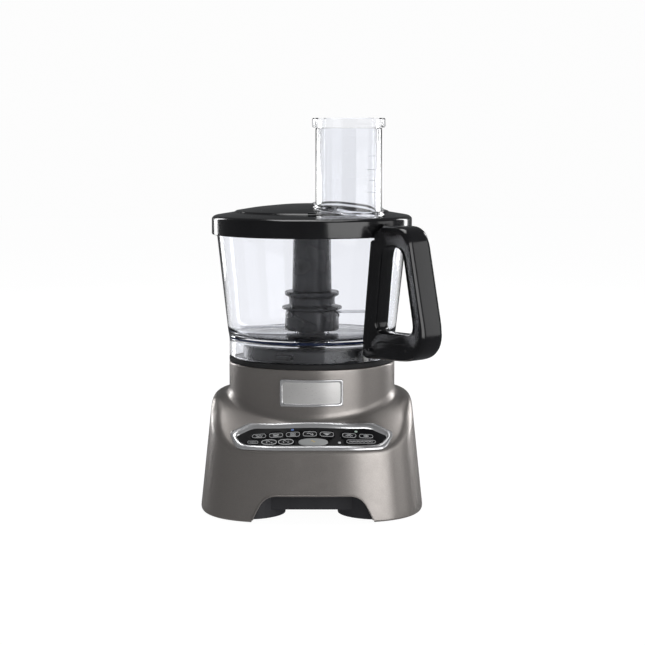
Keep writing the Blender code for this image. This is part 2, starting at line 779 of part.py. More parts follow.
def make_bowl():
    under = BOWL_FLOOR - 4.2 * MM
    top = bowl_radius(BOWL_RIM)
    profile = [
        (top - BOWL_WALL, BOWL_RIM),
        (top, BOWL_RIM),
        (BOWL_LOW_RADIUS, BOWL_LOW),
        (SKIRT_RADIUS, 177 * MM),
        (SKIRT_RADIUS, DECK_TOP + GAP),
        (SKIRT_RADIUS - 3.2 * MM, DECK_TOP + GAP),
        (SKIRT_RADIUS - 3.2 * MM, under),
        (15 * MM, under),
        (15 * MM, 201 * MM),
        (17.5 * MM, 201 * MM),
        (17.5 * MM, BOWL_FLOOR),
        (82.5 * MM, BOWL_FLOOR),
        (bowl_radius(187 * MM) - BOWL_WALL, 187 * MM),
    ]
    bowl = turned("bowl", clear_plastic, profile, 44)
    slot = box(
        "foot_slot", None, (-6 * MM, -2.8 * MM, -10 * MM), (6 * MM, 2.8 * MM, 10 * MM), collection=cutters
    )
    slot.matrix_local = Matrix.Rotation(HANDLE_ANGLE, 4, "Z") @ Matrix.Translation((87 * MM, 0, 166 * MM))
    cut(bowl, slot)
    turned("shaft_seal", rubber, ring_profile(DRIVE_SHAFT_RADIUS + GAP, 14.7 * MM, 192 * MM, 198 * MM), 24)


def handle_outline():
    """Side view in the handle's own plane: (distance from the spindle, height)."""
    corners = [
        (90.4 * MM, 163 * MM),
        (182 * MM, 165 * MM),
        (154 * MM, 300.5 * MM),
        (117 * MM, 300.5 * MM),
        (113.5 * MM, 295.5 * MM),
        (107.3 * MM, 295.5 * MM),
        (107.3 * MM, 286.5 * MM),
        (bowl_radius(286 * MM) + 0.7 * MM, 285.5 * MM),
        (90.4 * MM, 184 * MM),
    ]
    return rounded_corners(corners, [4 * MM, 40 * MM, 30 * MM, 2 * MM, 1 * MM, 1 * MM, 1 * MM, 1 * MM, 2 * MM], 5)


def finger_outline():
    corners = [
        (103.5 * MM, 191 * MM),
        (157.5 * MM, 191 * MM),
        (140.5 * MM, 279 * MM),
        (113 * MM, 279 * MM),
    ]
    return rounded_corners(corners, [10 * MM, 13 * MM, 13 * MM, 9 * MM], 4)


def rod_point(height):
    x, y = radial(bowl_radius(height) + ROD_OFFSET)
    return Vector((x, y, height))


def make_handle():
    handle = plate(
        "bowl_handle", black_gloss, [handle_outline(), finger_outline()], -HANDLE_HALF, HANDLE_HALF
    )
    handle.rotation_euler = (math.radians(90), 0, HANDLE_ANGLE)
    bevel(handle, 3.5 * MM, 1, 50)
    hole = rod_between(
        "rod_hole", None, rod_point(150 * MM), rod_point(320 * MM), 2.7 * MM, 14, collection=cutters
    )
    slot = box(
        "handle_slot", None, (-8 * MM, -2.8 * MM, -10 * MM), (8 * MM, 2.8 * MM, 10 * MM), collection=cutters
    )
    slot.matrix_local = Matrix.Rotation(HANDLE_ANGLE, 4, "Z") @ Matrix.Translation((91 * MM, 0, 166 * MM))
    cut(handle, hole, slot)
    rod = rod_between("interlock_rod", nylon, rod_point(168 * MM), rod_point(297.2 * MM), ROD_RADIUS, 12)
    low = rod_point(168.8 * MM)
    inner = Vector((*radial(PLUNGER_RADIUS - 2.5 * MM), 168.8 * MM))
    foot = rod_between("rod_foot", None, low, inner, 1.9 * MM, 12, collection=cutters)
    cut(rod, foot, operation="UNION")


def blade_outline(root, tip, hub_half):
    """Curved blade seen from above, pointing along +X from the hub."""
    edge = []
    for i in range(8):
        t = i / 7
        edge.append((root + (tip - root) * t, -hub_half * (1 - 0.2 * t) + 9 * MM * t * t))
    back = []
    for i in range(7):
        t = 1 - i / 6
        back.append((root + (tip - 7 * MM - root) * t, hub_half * (1 - 0.1 * t) + 5 * MM * t * t))
    root_arc = [(root * math.cos(a), root * math.sin(a)) for a in (0.42, 0.2, 0, -0.2, -0.42)]
    return edge[1:] + back[:-1] + [(x + 0.2 * MM, y) for x, y in root_arc]


def make_knife():
    hub = [
        (0, 225 * MM),
        (29 * MM, 225 * MM),
        (29 * MM, 221 * MM),
        (24.5 * MM, 219 * MM),
        (24.5 * MM, 210.5 * MM),
        (32 * MM, 209 * MM),
        (32 * MM, 207 * MM),
        (25.5 * MM, 205.8 * MM),
        (25.5 * MM, 196 * MM),
        (28.8 * MM, 192 * MM),
        (28.8 * MM, 184.5 * MM),
        (18.5 * MM, 184.5 * MM),
        (18.5 * MM, 203 * MM),
        (12.4 * MM, 203 * MM),
        (12.4 * MM, 216 * MM),
        (0, 216 * MM),
    ]
    turned("blade_hub", black_plastic, hub, 24)
    column = [
        (0, 302 * MM),
        (5 * MM, 302 * MM),
        (5 * MM, 297 * MM),
        (20 * MM, 297 * MM),
        (21 * MM, 225.3 * MM),
        (0, 225.3 * MM),
    ]
    turned("blade_column", black_plastic, column, 28)
    plate("upper_blade", steel, [blade_outline(26 * MM, 82 * MM, 11 * MM)], 202 * MM, 203.8 * MM)
    lower = plate("lower_blade", steel, [blade_outline(29.4 * MM, 78 * MM, 11 * MM)], 187 * MM, 188.8 * MM)
    lower.rotation_euler = (0, 0, math.pi)


def make_lid():
    profile = [
        (0, LID_CROWN),
        (30 * MM, 318.9 * MM),
        (60 * MM, 315.9 * MM),
        (82 * MM, 311.6 * MM),
        (LID_RADIUS - 2.5 * MM, LID_EDGE_TOP),
        (LID_RADIUS, LID_EDGE_TOP - 2.5 * MM),
        (LID_RADIUS, LID_BOTTOM),
        (LID_RADIUS - 3 * MM, LID_BOTTOM),
        (LID_RADIUS - 3 * MM, 293.7 * MM),
        (96 * MM, 293.7 * MM),
        (94 * MM, 303.5 * MM),
        (60 * MM, 311 * MM),
        (0, 316.5 * MM),
    ]
    lid = turned("lid", black_gloss, profile, 44)
    tab = box(
        "lid_tab", None, (-4.5 * MM, -5.4 * MM, -2 * MM), (4.5 * MM, 5.4 * MM, 2 * MM), collection=cutters
    )
    tab.matrix_local = Matrix.Rotation(HANDLE_ANGLE, 4, "Z") @ Matrix.Translation((108 * MM, 0, 300 * MM))
    opening = plate(
        "tube_opening",
        None,
        [power_outline(TUBE_HALF + GAP, TUBE_POWER, 36)],
        270 * MM,
        340 * MM,
        (TUBE_X, TUBE_Y, 0),
        collection=cutters,
    )
    cut(lid, tab, operation="UNION")
    cut(lid, opening)
    turned("lid_seal", rubber, ring_profile(98.6 * MM, 102.6 * MM, 291.3 * MM, 293.4 * MM), 32)
    turned("lid_bush", nylon, ring_profile(5.4 * MM, 9 * MM, 298 * MM, 315.2 * MM), 20)


def power_tube(name, finish, profile, power, count=36, location=(0, 0, 0)):
    """A closed (half width, height) profile swept round a superellipse."""
    rings = []
    for half, height in profile:
        rings.append([(x, y, height) for x, y in power_outline(half, power, count)])
    return add(name, ring_loft(rings, closed_profile=True), finish, location)


def make_feed_tube_and_pusher():
    inner = TUBE_HALF - TUBE_WALL
    low = 297.5 * MM
    tube = [(inner, TUBE_TOP), (TUBE_HALF, TUBE_TOP), (TUBE_HALF, low), (inner, low)]
    power_tube("feed_tube", clear_plastic, tube, TUBE_POWER, 36, (TUBE_X, TUBE_Y, 0))
    body = inner - 0.7 * MM
    rings = [
        (body - 2 * MM, PUSHER_BOTTOM + 2.5 * MM),
        (body - 2 * MM, OVERALL_HEIGHT),
        (PUSHER_RIM, OVERALL_HEIGHT),
        (PUSHER_RIM, TUBE_TOP + GAP),
        (body, TUBE_TOP + GAP),
        (body, PUSHER_BOTTOM),
    ]
    cup = [[(x, y, z) for x, y in power_outline(half, TUBE_POWER, 36)] for half, z in rings]
    add("pusher", ring_loft(cup, closed_profile=False), clear_plastic, (TUBE_X, TUBE_Y, 0))


def clear_scene():
    for old in list(bpy.data.objects):
        bpy.data.objects.remove(old)


def new_collection(name):
    made = bpy.data.collections.new(name)
    bpy.context.scene.collection.children.link(made)
    return made


clear_scene()
parts = new_collection("food_processor")
cutters = new_collection("cutters")
cutters.hide_render = True
assembly = bpy.data.objects.new("assembly_origin", None)
parts.objects.link(assembly)
assembly.location = (SPINDLE_X, SPINDLE_Y, 0)

grey_paint = material("grey_paint", (0.26, 0.24, 0.22), 0.35, 0.6)
dark_plastic = material("dark_plastic", (0.03, 0.03, 0.035), 0.5)
black_plastic = material("black_plastic", (0.02, 0.02, 0.022), 0.4)
black_gloss = material("black_gloss", (0.01, 0.01, 0.012), 0.12)
clear_plastic = material("clear_plastic", (0.9, 0.93, 0.96), 0.03, 0.0, 1.0)
chrome = material("chrome", (0.75, 0.75, 0.76), 0.15, 1.0)
silver_key = material("silver_key", (0.45, 0.45, 0.46), 0.35, 0.6)
rubber = material("rubber", (0.02, 0.02, 0.02), 0.8)
steel = material("steel", (0.62, 0.62, 0.64), 0.25, 1.0)
aluminium = material("aluminium", (0.7, 0.7, 0.72), 0.4, 1.0)
bronze = material("bronze", (0.55, 0.38, 0.18), 0.35, 1.0)
copper = material("copper", (0.6, 0.3, 0.16), 0.35, 1.0)
carbon = material("carbon", (0.05, 0.05, 0.05), 0.7)
nylon = material("nylon", (0.8, 0.8, 0.76), 0.5)
circuit = material("circuit", (0.03, 0.2, 0.08), 0.5)

# Name, centre across and up the keypad, half sizes and finish of each key.
KEYS = [
    (f"programme_key_{i}", x * MM, 0.585, 7.3 * MM, 3.0 * MM, black_gloss)
    for i, x in enumerate((-53.4, -36.1, -18.8, -1.5, 15.8, 38.5, 55.8), 1)
]
KEYS += [
    ("stop_key", -59.6 * MM, 0.31, 5.6 * MM, 2.1 * MM, black_gloss),
    ("slow_key", -43.0 * MM, 0.31, 8.0 * MM, 3.6 * MM, black_gloss),
    ("fast_key", -25.9 * MM, 0.31, 8.0 * MM, 3.6 * MM, black_gloss),
    ("start_key", 1.9 * MM, 0.31, 15.0 * MM, 4.2 * MM, silver_key),
    ("pulse_key", 50.6 * MM, 0.33, 15.6 * MM, 2.5 * MM, black_gloss),
]

make_base_housing()
make_base_pan()
make_feet()
make_drive_deck()
make_badge()
make_keypad()
make_motor()
make_gears()
make_switch_and_gland()
make_bowl()
make_handle()
make_knife()
make_lid()
make_feed_tube_and_pusher()

for cutter in cutters.objects:
    cutter.hide_render = True
    cutter.display_type = "WIRE"
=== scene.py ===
"""Looks of the food processor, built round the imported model. Metres, +Z up, front towards -Y."""

import json
import math

import bmesh
import bpy
import numpy as np
from mathutils import Matrix, Vector


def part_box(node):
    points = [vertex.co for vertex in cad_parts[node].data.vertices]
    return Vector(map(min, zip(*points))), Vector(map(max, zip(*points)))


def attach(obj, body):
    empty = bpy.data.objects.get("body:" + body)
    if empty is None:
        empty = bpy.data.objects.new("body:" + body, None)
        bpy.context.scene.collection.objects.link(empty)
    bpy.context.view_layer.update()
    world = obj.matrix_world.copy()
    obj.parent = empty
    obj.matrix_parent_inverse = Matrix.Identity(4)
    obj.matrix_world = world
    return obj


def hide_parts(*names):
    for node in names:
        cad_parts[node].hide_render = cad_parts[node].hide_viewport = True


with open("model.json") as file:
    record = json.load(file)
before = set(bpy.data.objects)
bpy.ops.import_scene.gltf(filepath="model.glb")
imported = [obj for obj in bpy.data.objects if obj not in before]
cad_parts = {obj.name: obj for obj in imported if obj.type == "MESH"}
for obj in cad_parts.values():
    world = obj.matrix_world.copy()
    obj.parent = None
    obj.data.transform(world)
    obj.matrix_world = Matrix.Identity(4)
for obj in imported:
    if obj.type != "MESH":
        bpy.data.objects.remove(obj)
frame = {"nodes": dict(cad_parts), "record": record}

MM = 0.001
TAU = math.tau
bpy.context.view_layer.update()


def middle(node):
    low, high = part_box(node)
    return (low + high) / 2


SPINDLE = Vector((middle("blade_hub").x, middle("blade_hub").y, 0))


# ---- camera, light and stage ----


def make_camera():
    data = bpy.data.cameras.new("camera")
    data.lens = 99.9
    data.sensor_width = 36
    data.shift_y = -0.1
    data.clip_end = 50
    camera = bpy.data.objects.new("camera", data)
    bpy.context.scene.collection.objects.link(camera)
    camera.location = SPINDLE + Vector((0.0113, -1.906, 0.394))
    camera.rotation_euler = (math.radians(90 - 3.98), 0, 0)
    bpy.context.scene.camera = camera


def softbox(name, place, target, size, power):
    data = bpy.data.lights.new(name, "AREA")
    data.shape = "RECTANGLE"
    data.size, data.size_y = size
    data.energy = power
    lamp = bpy.data.objects.new(name, data)
    bpy.context.scene.collection.objects.link(lamp)
    lamp.location = place
    lamp.rotation_euler = (Vector(target) - Vector(place)).to_track_quat("-Z", "Y").to_euler()


def make_studio():
    aim = (0, 0, 0.2)
    softbox("key_right", (1.75, -1.95, 0.6), aim, (2.4, 1.7), 33)
    softbox("side_right", (2.5, 0.1, 0.5), aim, (1.1, 1.2), 4)
    softbox("left_rim", (-1.5, 1.9, 0.7), aim, (0.5, 1.6), 14)
    softbox("right_rim", (1.7, 1.7, 0.7), aim, (0.4, 1.6), 14)
    softbox("overhead", (0, 0.3, 2.4), (0, 0, 0), (1.6, 1.4), 24)
    world = bpy.data.worlds.new("world")
    bpy.context.scene.world = world
    world.use_nodes = True
    world.node_tree.nodes["Background"].inputs["Color"].default_value = (0.95, 0.97, 1.0, 1)
    world.node_tree.nodes["Background"].inputs["Strength"].default_value = 0.1
    bpy.context.scene.view_settings.view_transform = "Standard"

    builder = bmesh.new()
    bmesh.ops.create_grid(builder, x_segments=1, y_segments=1, size=7)
    floor = new_object("floor", builder, floor_material())
    floor.visible_glossy = False
    builder = bmesh.new()
    bmesh.ops.create_cone(builder, segments=64, radius1=6.5, radius2=6.5, depth=12)
    backdrop = new_object("backdrop", builder, backdrop_material())
    backdrop.visible_glossy = False
    backdrop.visible_diffuse = False
    backdrop.visible_shadow = False


# ---- materials ----


class Shader:
    """A node material being built round one Principled shader."""

    def __init__(self, name, colour, roughness, metallic=0.0):
        self.material = bpy.data.materials.new(name)
        self.material.use_nodes = True
        self.tree = self.material.node_tree
        self.shader = self.tree.nodes["Principled BSDF"]
        self.set("Base Color", (*colour, 1))
        self.set("Roughness", roughness)
        self.set("Metallic", metallic)
        self.place = self.tree.nodes.new("ShaderNodeTexCoord").outputs["Object"]

    def set(self, socket, value):
        self.shader.inputs[socket].default_value = value
        return self

    def noise(self, scale, detail=3.0, stretch=(1, 1, 1)):
        mapping = self.tree.nodes.new("ShaderNodeMapping")
        mapping.inputs["Scale"].default_value = stretch
        self.tree.links.new(self.place, mapping.inputs["Vector"])
        noise = self.tree.nodes.new("ShaderNodeTexNoise")
        noise.inputs["Scale"].default_value = scale
        noise.inputs["Detail"].default_value = detail
        self.tree.links.new(mapping.outputs["Vector"], noise.inputs["Vector"])
        return noise.outputs["Fac"]

    def span(self, source, low, high):
        span = self.tree.nodes.new("ShaderNodeMapRange")
        span.inputs["From Min"].default_value = 0.3
        span.inputs["From Max"].default_value = 0.7
        span.inputs["To Min"].default_value = low
        span.inputs["To Max"].default_value = high
        self.tree.links.new(source, span.inputs["Value"])
        return span.outputs["Result"]

    def rough(self, source, low, high):
        self.tree.links.new(self.span(source, low, high), self.shader.inputs["Roughness"])
        return self

    def tint(self, source, first, second):
        mix = self.tree.nodes.new("ShaderNodeMix")
        mix.data_type = "RGBA"
        mix.inputs["A"].default_value = (*first, 1)
        mix.inputs["B"].default_value = (*second, 1)
        self.tree.links.new(self.span(source, 0, 1), mix.inputs["Factor"])
        self.tree.links.new(mix.outputs["Result"], self.shader.inputs["Base Color"])
        return self

    def bump(self, source, distance, strength=0.4):
        bump = self.tree.nodes.new("ShaderNodeBump")
        bump.inputs["Strength"].default_value = strength
        bump.inputs["Distance"].default_value = distance
        self.tree.links.new(source, bump.inputs["Height"])
        last = self.shader.inputs["Normal"]
        if last.is_linked:
            self.tree.links.new(last.links[0].from_socket, bump.inputs["Normal"])
        self.tree.links.new(bump.outputs["Normal"], last)
        return self


def shade(colour, factor):
    return tuple(min(c * factor, 1) for c in colour)


def moulded(name, colour, roughness, grain=900, depth=0.00006, specular=0.4):
    """Moulded plastic: fine texture, slow changes in gloss and a trace of colour variation."""
    made = Shader(name, colour, roughness)
    slow = made.noise(22, 4)
    made.tint(slow, shade(colour, 0.88), shade(colour, 1.12))
    made.rough(made.noise(60, 3), roughness * 0.85, roughness * 1.15)
    made.bump(made.noise(grain, 2), depth, 0.3)
    made.set("Specular IOR Level", specular)
    return made.material


def metal(name, colour, roughness, stretch=(1, 1, 1), scale=400, metallic=1.0):
    made = Shader(name, colour, roughness, metallic)
    made.tint(made.noise(35, 3), shade(colour, 0.92), shade(colour, 1.06))
    made.rough(made.noise(scale, 3, stretch), roughness * 0.75, roughness * 1.3)
    made.bump(made.noise(scale, 2, stretch), 0.00002, 0.25)
    return made.material


def grey_paint_material():
    """Satin metallic paint: flakes under a thin clear coat, with the faint waviness of a sprayed shell."""
    colour = (0.37, 0.343, 0.325)
    made = Shader("grey_metallic_paint", colour, 0.35, 0.75)
    made.tint(made.noise(2600, 1), shade(colour, 0.86), shade(colour, 1.16))
    made.rough(made.noise(140, 3), 0.32, 0.39)
    made.bump(made.noise(1500, 2), 0.00003, 0.25)
    made.bump(made.noise(9, 2), 0.0004, 0.05)
    made.set("Coat Weight", 0.25).set("Coat Roughness", 0.18)
    return made.material


def clear_material(name, colour, roughness):
    """Clear plastic, with the faint upright draw lines that moulding leaves."""
    made = Shader(name, colour, roughness)
    made.set("Transmission Weight", 1.0).set("IOR", 1.3)
    lines = made.noise(60, 2, (1, 1, 0.04))
    made.rough(lines, roughness * 0.6, roughness * 1.6)
    made.bump(lines, 0.0002, 0.12)
    return made.material


def gloss_material():
    colour = (0.0075, 0.0075, 0.0085)
    made = Shader("black_gloss", colour, 0.15)
    made.tint(made.noise(30, 3), shade(colour, 0.8), shade(colour, 1.3))
    made.rough(made.noise(120, 4), 0.12, 0.18)
    made.bump(made.noise(14, 2), 0.0003, 0.04)
    made.set("Coat Weight", 0.25).set("Coat Roughness", 0.06)
    return made.material


def floor_material():
    made = Shader("pale_floor", (0.12, 0.12, 0.12), 0.6)
    made.tint(made.noise(3, 2), (0.115, 0.115, 0.115), (0.125, 0.125, 0.125))
    made.set("Specular IOR Level", 0)
    made.set("Emission Color", (1, 1, 1, 1)).set("Emission Strength", 0.97)
    return made.material


def backdrop_material():
    made = Shader("pale_backdrop", (0, 0, 0), 1.0)
    made.set("Specular IOR Level", 0).set("Emission Color", (1, 1, 1, 1)).set("Emission Strength", 0.98)
    return made.material


GREY = grey_paint_material()
GLOSS = gloss_material()
FACE = moulded("keypad_black", (0.009, 0.009, 0.01), 0.34, 900, 0.00002, 0.2)
SATIN = moulded("black_satin", (0.012, 0.0125, 0.0145), 0.3, 700, 0.00002)
HUB = moulded("charcoal_satin", (0.012, 0.0125, 0.0155), 0.26, 700, 0.00001, 0.3)
DARK = moulded("dark_plastic", (0.028, 0.028, 0.032), 0.5, 500, 0.0001)
RUBBER = moulded("rubber", (0.02, 0.02, 0.021), 0.75, 1200, 0.0001)
NYLON = moulded("nylon", (0.72, 0.71, 0.66), 0.42)
CIRCUIT = moulded("circuit_board", (0.02, 0.13, 0.05), 0.4, 300, 0.0001)
CARBON = moulded("carbon", (0.035, 0.035, 0.037), 0.6)
PRINT = moulded("pale_print", (0.68, 0.69, 0.7), 0.45)
BLUE_MARK = moulded("blue_mark", (0.16, 0.27, 0.6), 0.35)
GREEN_MARK = moulded("green_mark", (0.62, 0.75, 0.66), 0.35)
AMBER_MARK = moulded("amber_mark", (0.7, 0.55, 0.22), 0.35)
SILVER = moulded("silver_key", (0.42, 0.43, 0.43), 0.34)
# Painted shade: a dark navy colour for a ring in the clear bowl floor, standing in for the dark drum and
# collar seen through it by refraction.
PAINTED_REFRACTION_SHADE = moulded("painted_refraction_shade", (0.012, 0.02, 0.055), 0.2)
CHROME = metal("chrome_trim", (0.8, 0.8, 0.81), 0.2, metallic=0.7)
BRUSHED = metal("brushed_plate", (0.74, 0.73, 0.72), 0.36, (1, 1, 14), 260, 0.5)
STEEL = metal("ground_steel", (0.6, 0.61, 0.63), 0.22, (1, 12, 1), 300)
ALUMINIUM = metal("cast_aluminium", (0.62, 0.63, 0.65), 0.45)
BRONZE = metal("bronze", (0.5, 0.35, 0.17), 0.35)
COPPER = metal("copper", (0.62, 0.29, 0.15), 0.32, (1, 1, 20), 500)
CLEAR = clear_material("clear_plastic", (0.92, 0.928, 0.955), 0.03)
CLEAR_TUBE = clear_material("clear_tube_plastic", (0.945, 0.95, 0.965), 0.025)
FROST = clear_material("frosted_marks", (0.86, 0.88, 0.91), 0.5)


# ---- mesh helpers ----


def new_object(name, builder, finish, sharp=40):
    bmesh.ops.recalc_face_normals(builder, faces=builder.faces)
    mesh = bpy.data.meshes.new(name)
    builder.to_mesh(mesh)
    builder.free()
    made = bpy.data.objects.new(name, mesh)
    bpy.context.scene.collection.objects.link(made)
    mesh.materials.append(finish)
    mesh.shade_smooth()
    mesh.set_sharp_from_angle(angle=math.radians(sharp))
    return made


def rows_to_builder(rows, close_rows):
    """Quads between rings of points that each close on themselves."""
    builder = bmesh.new()
    made = [[builder.verts.new(point) for point in row] for row in rows]
    count = len(made[0])
    for j in range(len(made) if close_rows else len(made) - 1):
        lower, upper = made[j], made[(j + 1) % len(made)]
        for i in range(count):
            k = (i + 1) % count
            builder.faces.new((lower[i], lower[k], upper[k], upper[i]))
    if not close_rows:
        builder.faces.new(made[0])
        builder.faces.new(made[-1])
    return builder


def rounded(points, reaches, steps=5, closed=True):
    """Replaces each corner by a short curve that starts and ends at its reach from the corner."""
    out = []
    count = len(points)
    for i, corner in enumerate(points):
        corner = np.array(corner, float)
        reach = reaches[i] if isinstance(reaches, (list, tuple)) else reaches
        if reach <= 0 or (not closed and i in (0, count - 1)):
            out.append(tuple(corner))
            continue
        before = np.array(points[i - 1], float) - corner
        after = np.array(points[(i + 1) % count], float) - corner
        most = min(np.linalg.norm(before), np.linalg.norm(after)) * 0.49
        reach = min(reach, most)
        start = corner + before / np.linalg.norm(before) * reach
        end = corner + after / np.linalg.norm(after) * reach
        for k in range(steps + 1):
            t = k / steps
            out.append(tuple((1 - t) ** 2 * start + 2 * t * (1 - t) * corner + t * t * end))
    return out


def lathe(name, finish, profile, segments=128, centre=None, sharp=40):
    """A closed (radius, height) profile, in millimetres, turned about an upright axis."""
    centre = SPINDLE if centre is None else centre
    rows = []
    for radius, height in profile:
        ring = []
        for i in range(segments):
            angle = TAU * i / segments
            ring.append((centre[0] + max(radius, 0.01) * MM * math.cos(angle),
                         centre[1] + max(radius, 0.01) * MM * math.sin(angle), height * MM))
        rows.append(ring)
    return new_object(name, rows_to_builder(rows, True), finish, sharp)


def power_radius(angle, half_x, half_y, power):
    along = abs(math.cos(angle) / half_x) ** power
    across = abs(math.sin(angle) / half_y) ** power
    return (along + across) ** (-1 / power)


def power_loft(name, finish, profile, power, centre, close_rows=True, count=128):
    """A (half width, height) profile, in millimetres, swept round a superellipse."""
    rows = []
    for half, height in profile:
        ring = []
        for i in range(count):
            angle = TAU * i / count
            radius = power_radius(angle, half, half, power)
            ring.append((centre[0] + radius * MM * math.cos(angle),
                         centre[1] + radius * MM * math.sin(angle), height * MM))
        rows.append(ring)
    return new_object(name, rows_to_builder(rows, close_rows), finish)


def smoothstep(low, high, value):
    t = min(max((value - low) / (high - low), 0), 1)
    return t * t * (3 - 2 * t)


def keep(piece, body, slot, *nodes):
    """Rides a finished piece on its body and hides the CAD nodes that it stands for. The slot argument is not
    used.
    """
    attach(piece, body)
    if nodes:
        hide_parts(*nodes)
    return piece


# ---- the base ----

BASE_HALF, BASE_TAPER, BASE_POWER, FRONT_STRETCH = 117.7, 0.104, 3.2, 1.055
CREASE_FRONT, CREASE_SIDE = 72.5, 117.0
CREASE_FROM, CREASE_TO = math.radians(33), math.radians(80)
JUNCTION_FRONT, JUNCTION_RISE = 101.5, 21.5
NECK_RADIUS, NECK_TOP, BASE_BOTTOM = 88.3, 152.3, 1.5
PANEL_RUN, PANEL_INSET = 23.0, 6.5
FACE_TOP, KEY_PROUD = 0.4, 0.9
TOP_RISE = 0.22
ARCH_SHIFT = 1.5
GLAND_RADIUS, GLAND_HEIGHT = 7.6, 28


def from_front(angle):
    return abs(math.remainder(angle + math.pi / 2, TAU))


def wall_radius(angle, height, inset=0.0):
    half = BASE_HALF - BASE_TAPER * height - inset
    stretch = FRONT_STRETCH if math.sin(angle) < 0 else 1
    return power_radius(angle, half, half * stretch, BASE_POWER)


def crease_height(angle):
    return CREASE_FRONT + (CREASE_SIDE - CREASE_FRONT) * smoothstep(CREASE_FROM, CREASE_TO, from_front(angle))


def junction_height(angle):
    turn = 1 - math.cos(from_front(angle))
    return JUNCTION_FRONT + JUNCTION_RISE * (1 - math.exp(-turn / 0.8))


def deck_height(x, y):
    angle = math.atan2(y, x)
    crease, junction = crease_height(angle), junction_height(angle)
    edge = wall_radius(angle, crease)
    inward = (edge - math.hypot(x, y)) / (edge - NECK_RADIUS)
    return crease + inward * (junction - crease)


def base_profile(angle, inset):
    """(radius, height) points up the shell in one direction, drawn in by an inset."""
    crease, junction = crease_height(angle), junction_height(angle)
    side = smoothstep(CREASE_FROM, CREASE_TO, from_front(angle))
    foot = wall_radius(angle, BASE_BOTTOM, inset)
    start = [(foot - 4, BASE_BOTTOM), (foot, BASE_BOTTOM)]
    if inset:
        start = [(foot - 2.4, BASE_BOTTOM), (foot - 0.4, BASE_BOTTOM + 4)]
    corners = start + [
        (wall_radius(angle, crease, inset) - 0.5 * inset, crease - 0.8 * inset),
        (NECK_RADIUS - inset, junction - 0.6 * inset),
        (NECK_RADIUS - inset, NECK_TOP - inset),
        (NECK_RADIUS - 4.6, NECK_TOP - inset),
    ]
    reach = [0, 1.5 if inset else 6, 4 + 13 * side, 6 + 4 * side, 1.6, 0]
    return rounded(corners, reach, 8, closed=False)


def shell_columns(count, inset):
    columns = []
    for i in range(count):
        angle = TAU * i / count
        profile = subdivided(base_profile(angle, inset))
        columns.append([(r * math.cos(angle), r * math.sin(angle), z) for r, z in profile])
    return columns


def subdivided(profile):
    """The three long straight runs of a base profile split, so that the sides are even in every direction."""
    corner = 9
    runs = {corner * k: 10 for k in (1, 2, 3)}
    out = []
    for i, first in enumerate(profile):
        out.append(first)
        for k in range(1, runs.get(i, 1)):
            share = k / runs[i]
            second = profile[i + 1]
            out.append((first[0] + share * (second[0] - first[0]), first[1] + share * (second[1] - first[1])))
    return out


def to_world(point, lift=0.0):
    return (SPINDLE.x + point[0] * MM, SPINDLE.y + point[1] * MM, (point[2] + lift) * MM)


def arch_outline():
    corners = [(-66, -10), (66, -10), (61, 6), (49, 29), (-49, 29), (-61, 6)]
    return [(x + ARCH_SHIFT, z) for x, z in rounded(corners, [0, 0, 9, 15, 15, 9], 8)]


def prism_along_y(name, outline, front, back):
    rows = [[to_world((x, y, z)) for x, z in outline] for y in (front, back)]
    return new_object(name, rows_to_builder(rows, False), DARK)


def cut_with(target, cutter):
    step = target.modifiers.new("cut", "BOOLEAN")
    step.operation = "DIFFERENCE"
    step.object = cutter
    graph = bpy.context.evaluated_depsgraph_get()
    mesh = bpy.data.meshes.new_from_object(target.evaluated_get(graph))
    target.modifiers.clear()
    target.data = mesh
    bpy.data.objects.remove(cutter)
    return target


def make_housing():
    count = 176
    outer, inner = shell_columns(count, 0), shell_columns(count, 2.6)
    height = len(outer[0])
    rows = [[to_world(c[j]) for c in outer] for j in range(height)]
    rows += [[to_world(c[j]) for c in inner] for j in reversed(range(height))]
    housing = new_object("housing_shell", rows_to_builder(rows, True), GREY, 50)
    cut_with(housing, prism_along_y("arch", arch_outline(), -140, -85))
    cut_with(housing, draped("opening", DARK, panel_edge(PANEL_INSET * 0.6, 24), -14, 14))
    turns = np.linspace(0, TAU, 32)[:-1]
    circle = [(GLAND_RADIUS * math.cos(a), GLAND_HEIGHT + GLAND_RADIUS * math.sin(a)) for a in turns]
    cut_with(housing, prism_along_y("gland_gap", circle, 100, 130))
    housing.data.shade_smooth()
    housing.data.set_sharp_from_angle(angle=math.radians(32))
    keep(housing, "base", "grey_paint", "base_housing")


def make_arch_lip():
    """The painted turned edge round the front arch."""
    outline = arch_outline()
    points = [p for p in outline if p[1] > 2.2]
    points.sort(key=lambda p: math.atan2(p[1] - 2, -p[0]))
    dense = []
    for a, b in zip(points, points[1:]):
        steps = max(1, round(math.dist(a, b) / 3))
        dense += [(a[0] + (b[0] - a[0]) * k / steps, a[1] + (b[1] - a[1]) * k / steps) for k in range(steps)]
    path = []
    for x, z in dense + points[-1:]:
        half = BASE_HALF - BASE_TAPER * z
        y = -half * FRONT_STRETCH * (1 - (abs(x) / half) ** BASE_POWER) ** (1 / BASE_POWER)
        path.append(to_world((x, y - 0.05, z)))
    tube("arch_lip", GREY, path, 0.9 * MM, "base", "grey_paint")


def tube(name, finish, path, radius, body, slot, cyclic=False):
    curve = bpy.data.curves.new(name, "CURVE")
    curve.dimensions = "3D"
    curve.bevel_depth = radius
    curve.bevel_resolution = 4
    curve.use_fill_caps = True
    spline = curve.splines.new("POLY")
    spline.points.add(len(path) - 1)
    for point, place in zip(spline.points, path):
        point.co = (*place, 1)
    spline.use_cyclic_u = cyclic
    made = bpy.data.objects.new(name, curve)
    bpy.context.scene.collection.objects.link(made)
    curve.materials.append(finish)
    return keep(made, body, slot)


# ---- the keypad ----

KEY_GAP, KEY_DRIFT = 0.3, 0.7  # the slit round a key, and room for it to move back as it is pressed
KEY_SLOPE = 0.69  # the share of a length up the sloping deck that shows in plan


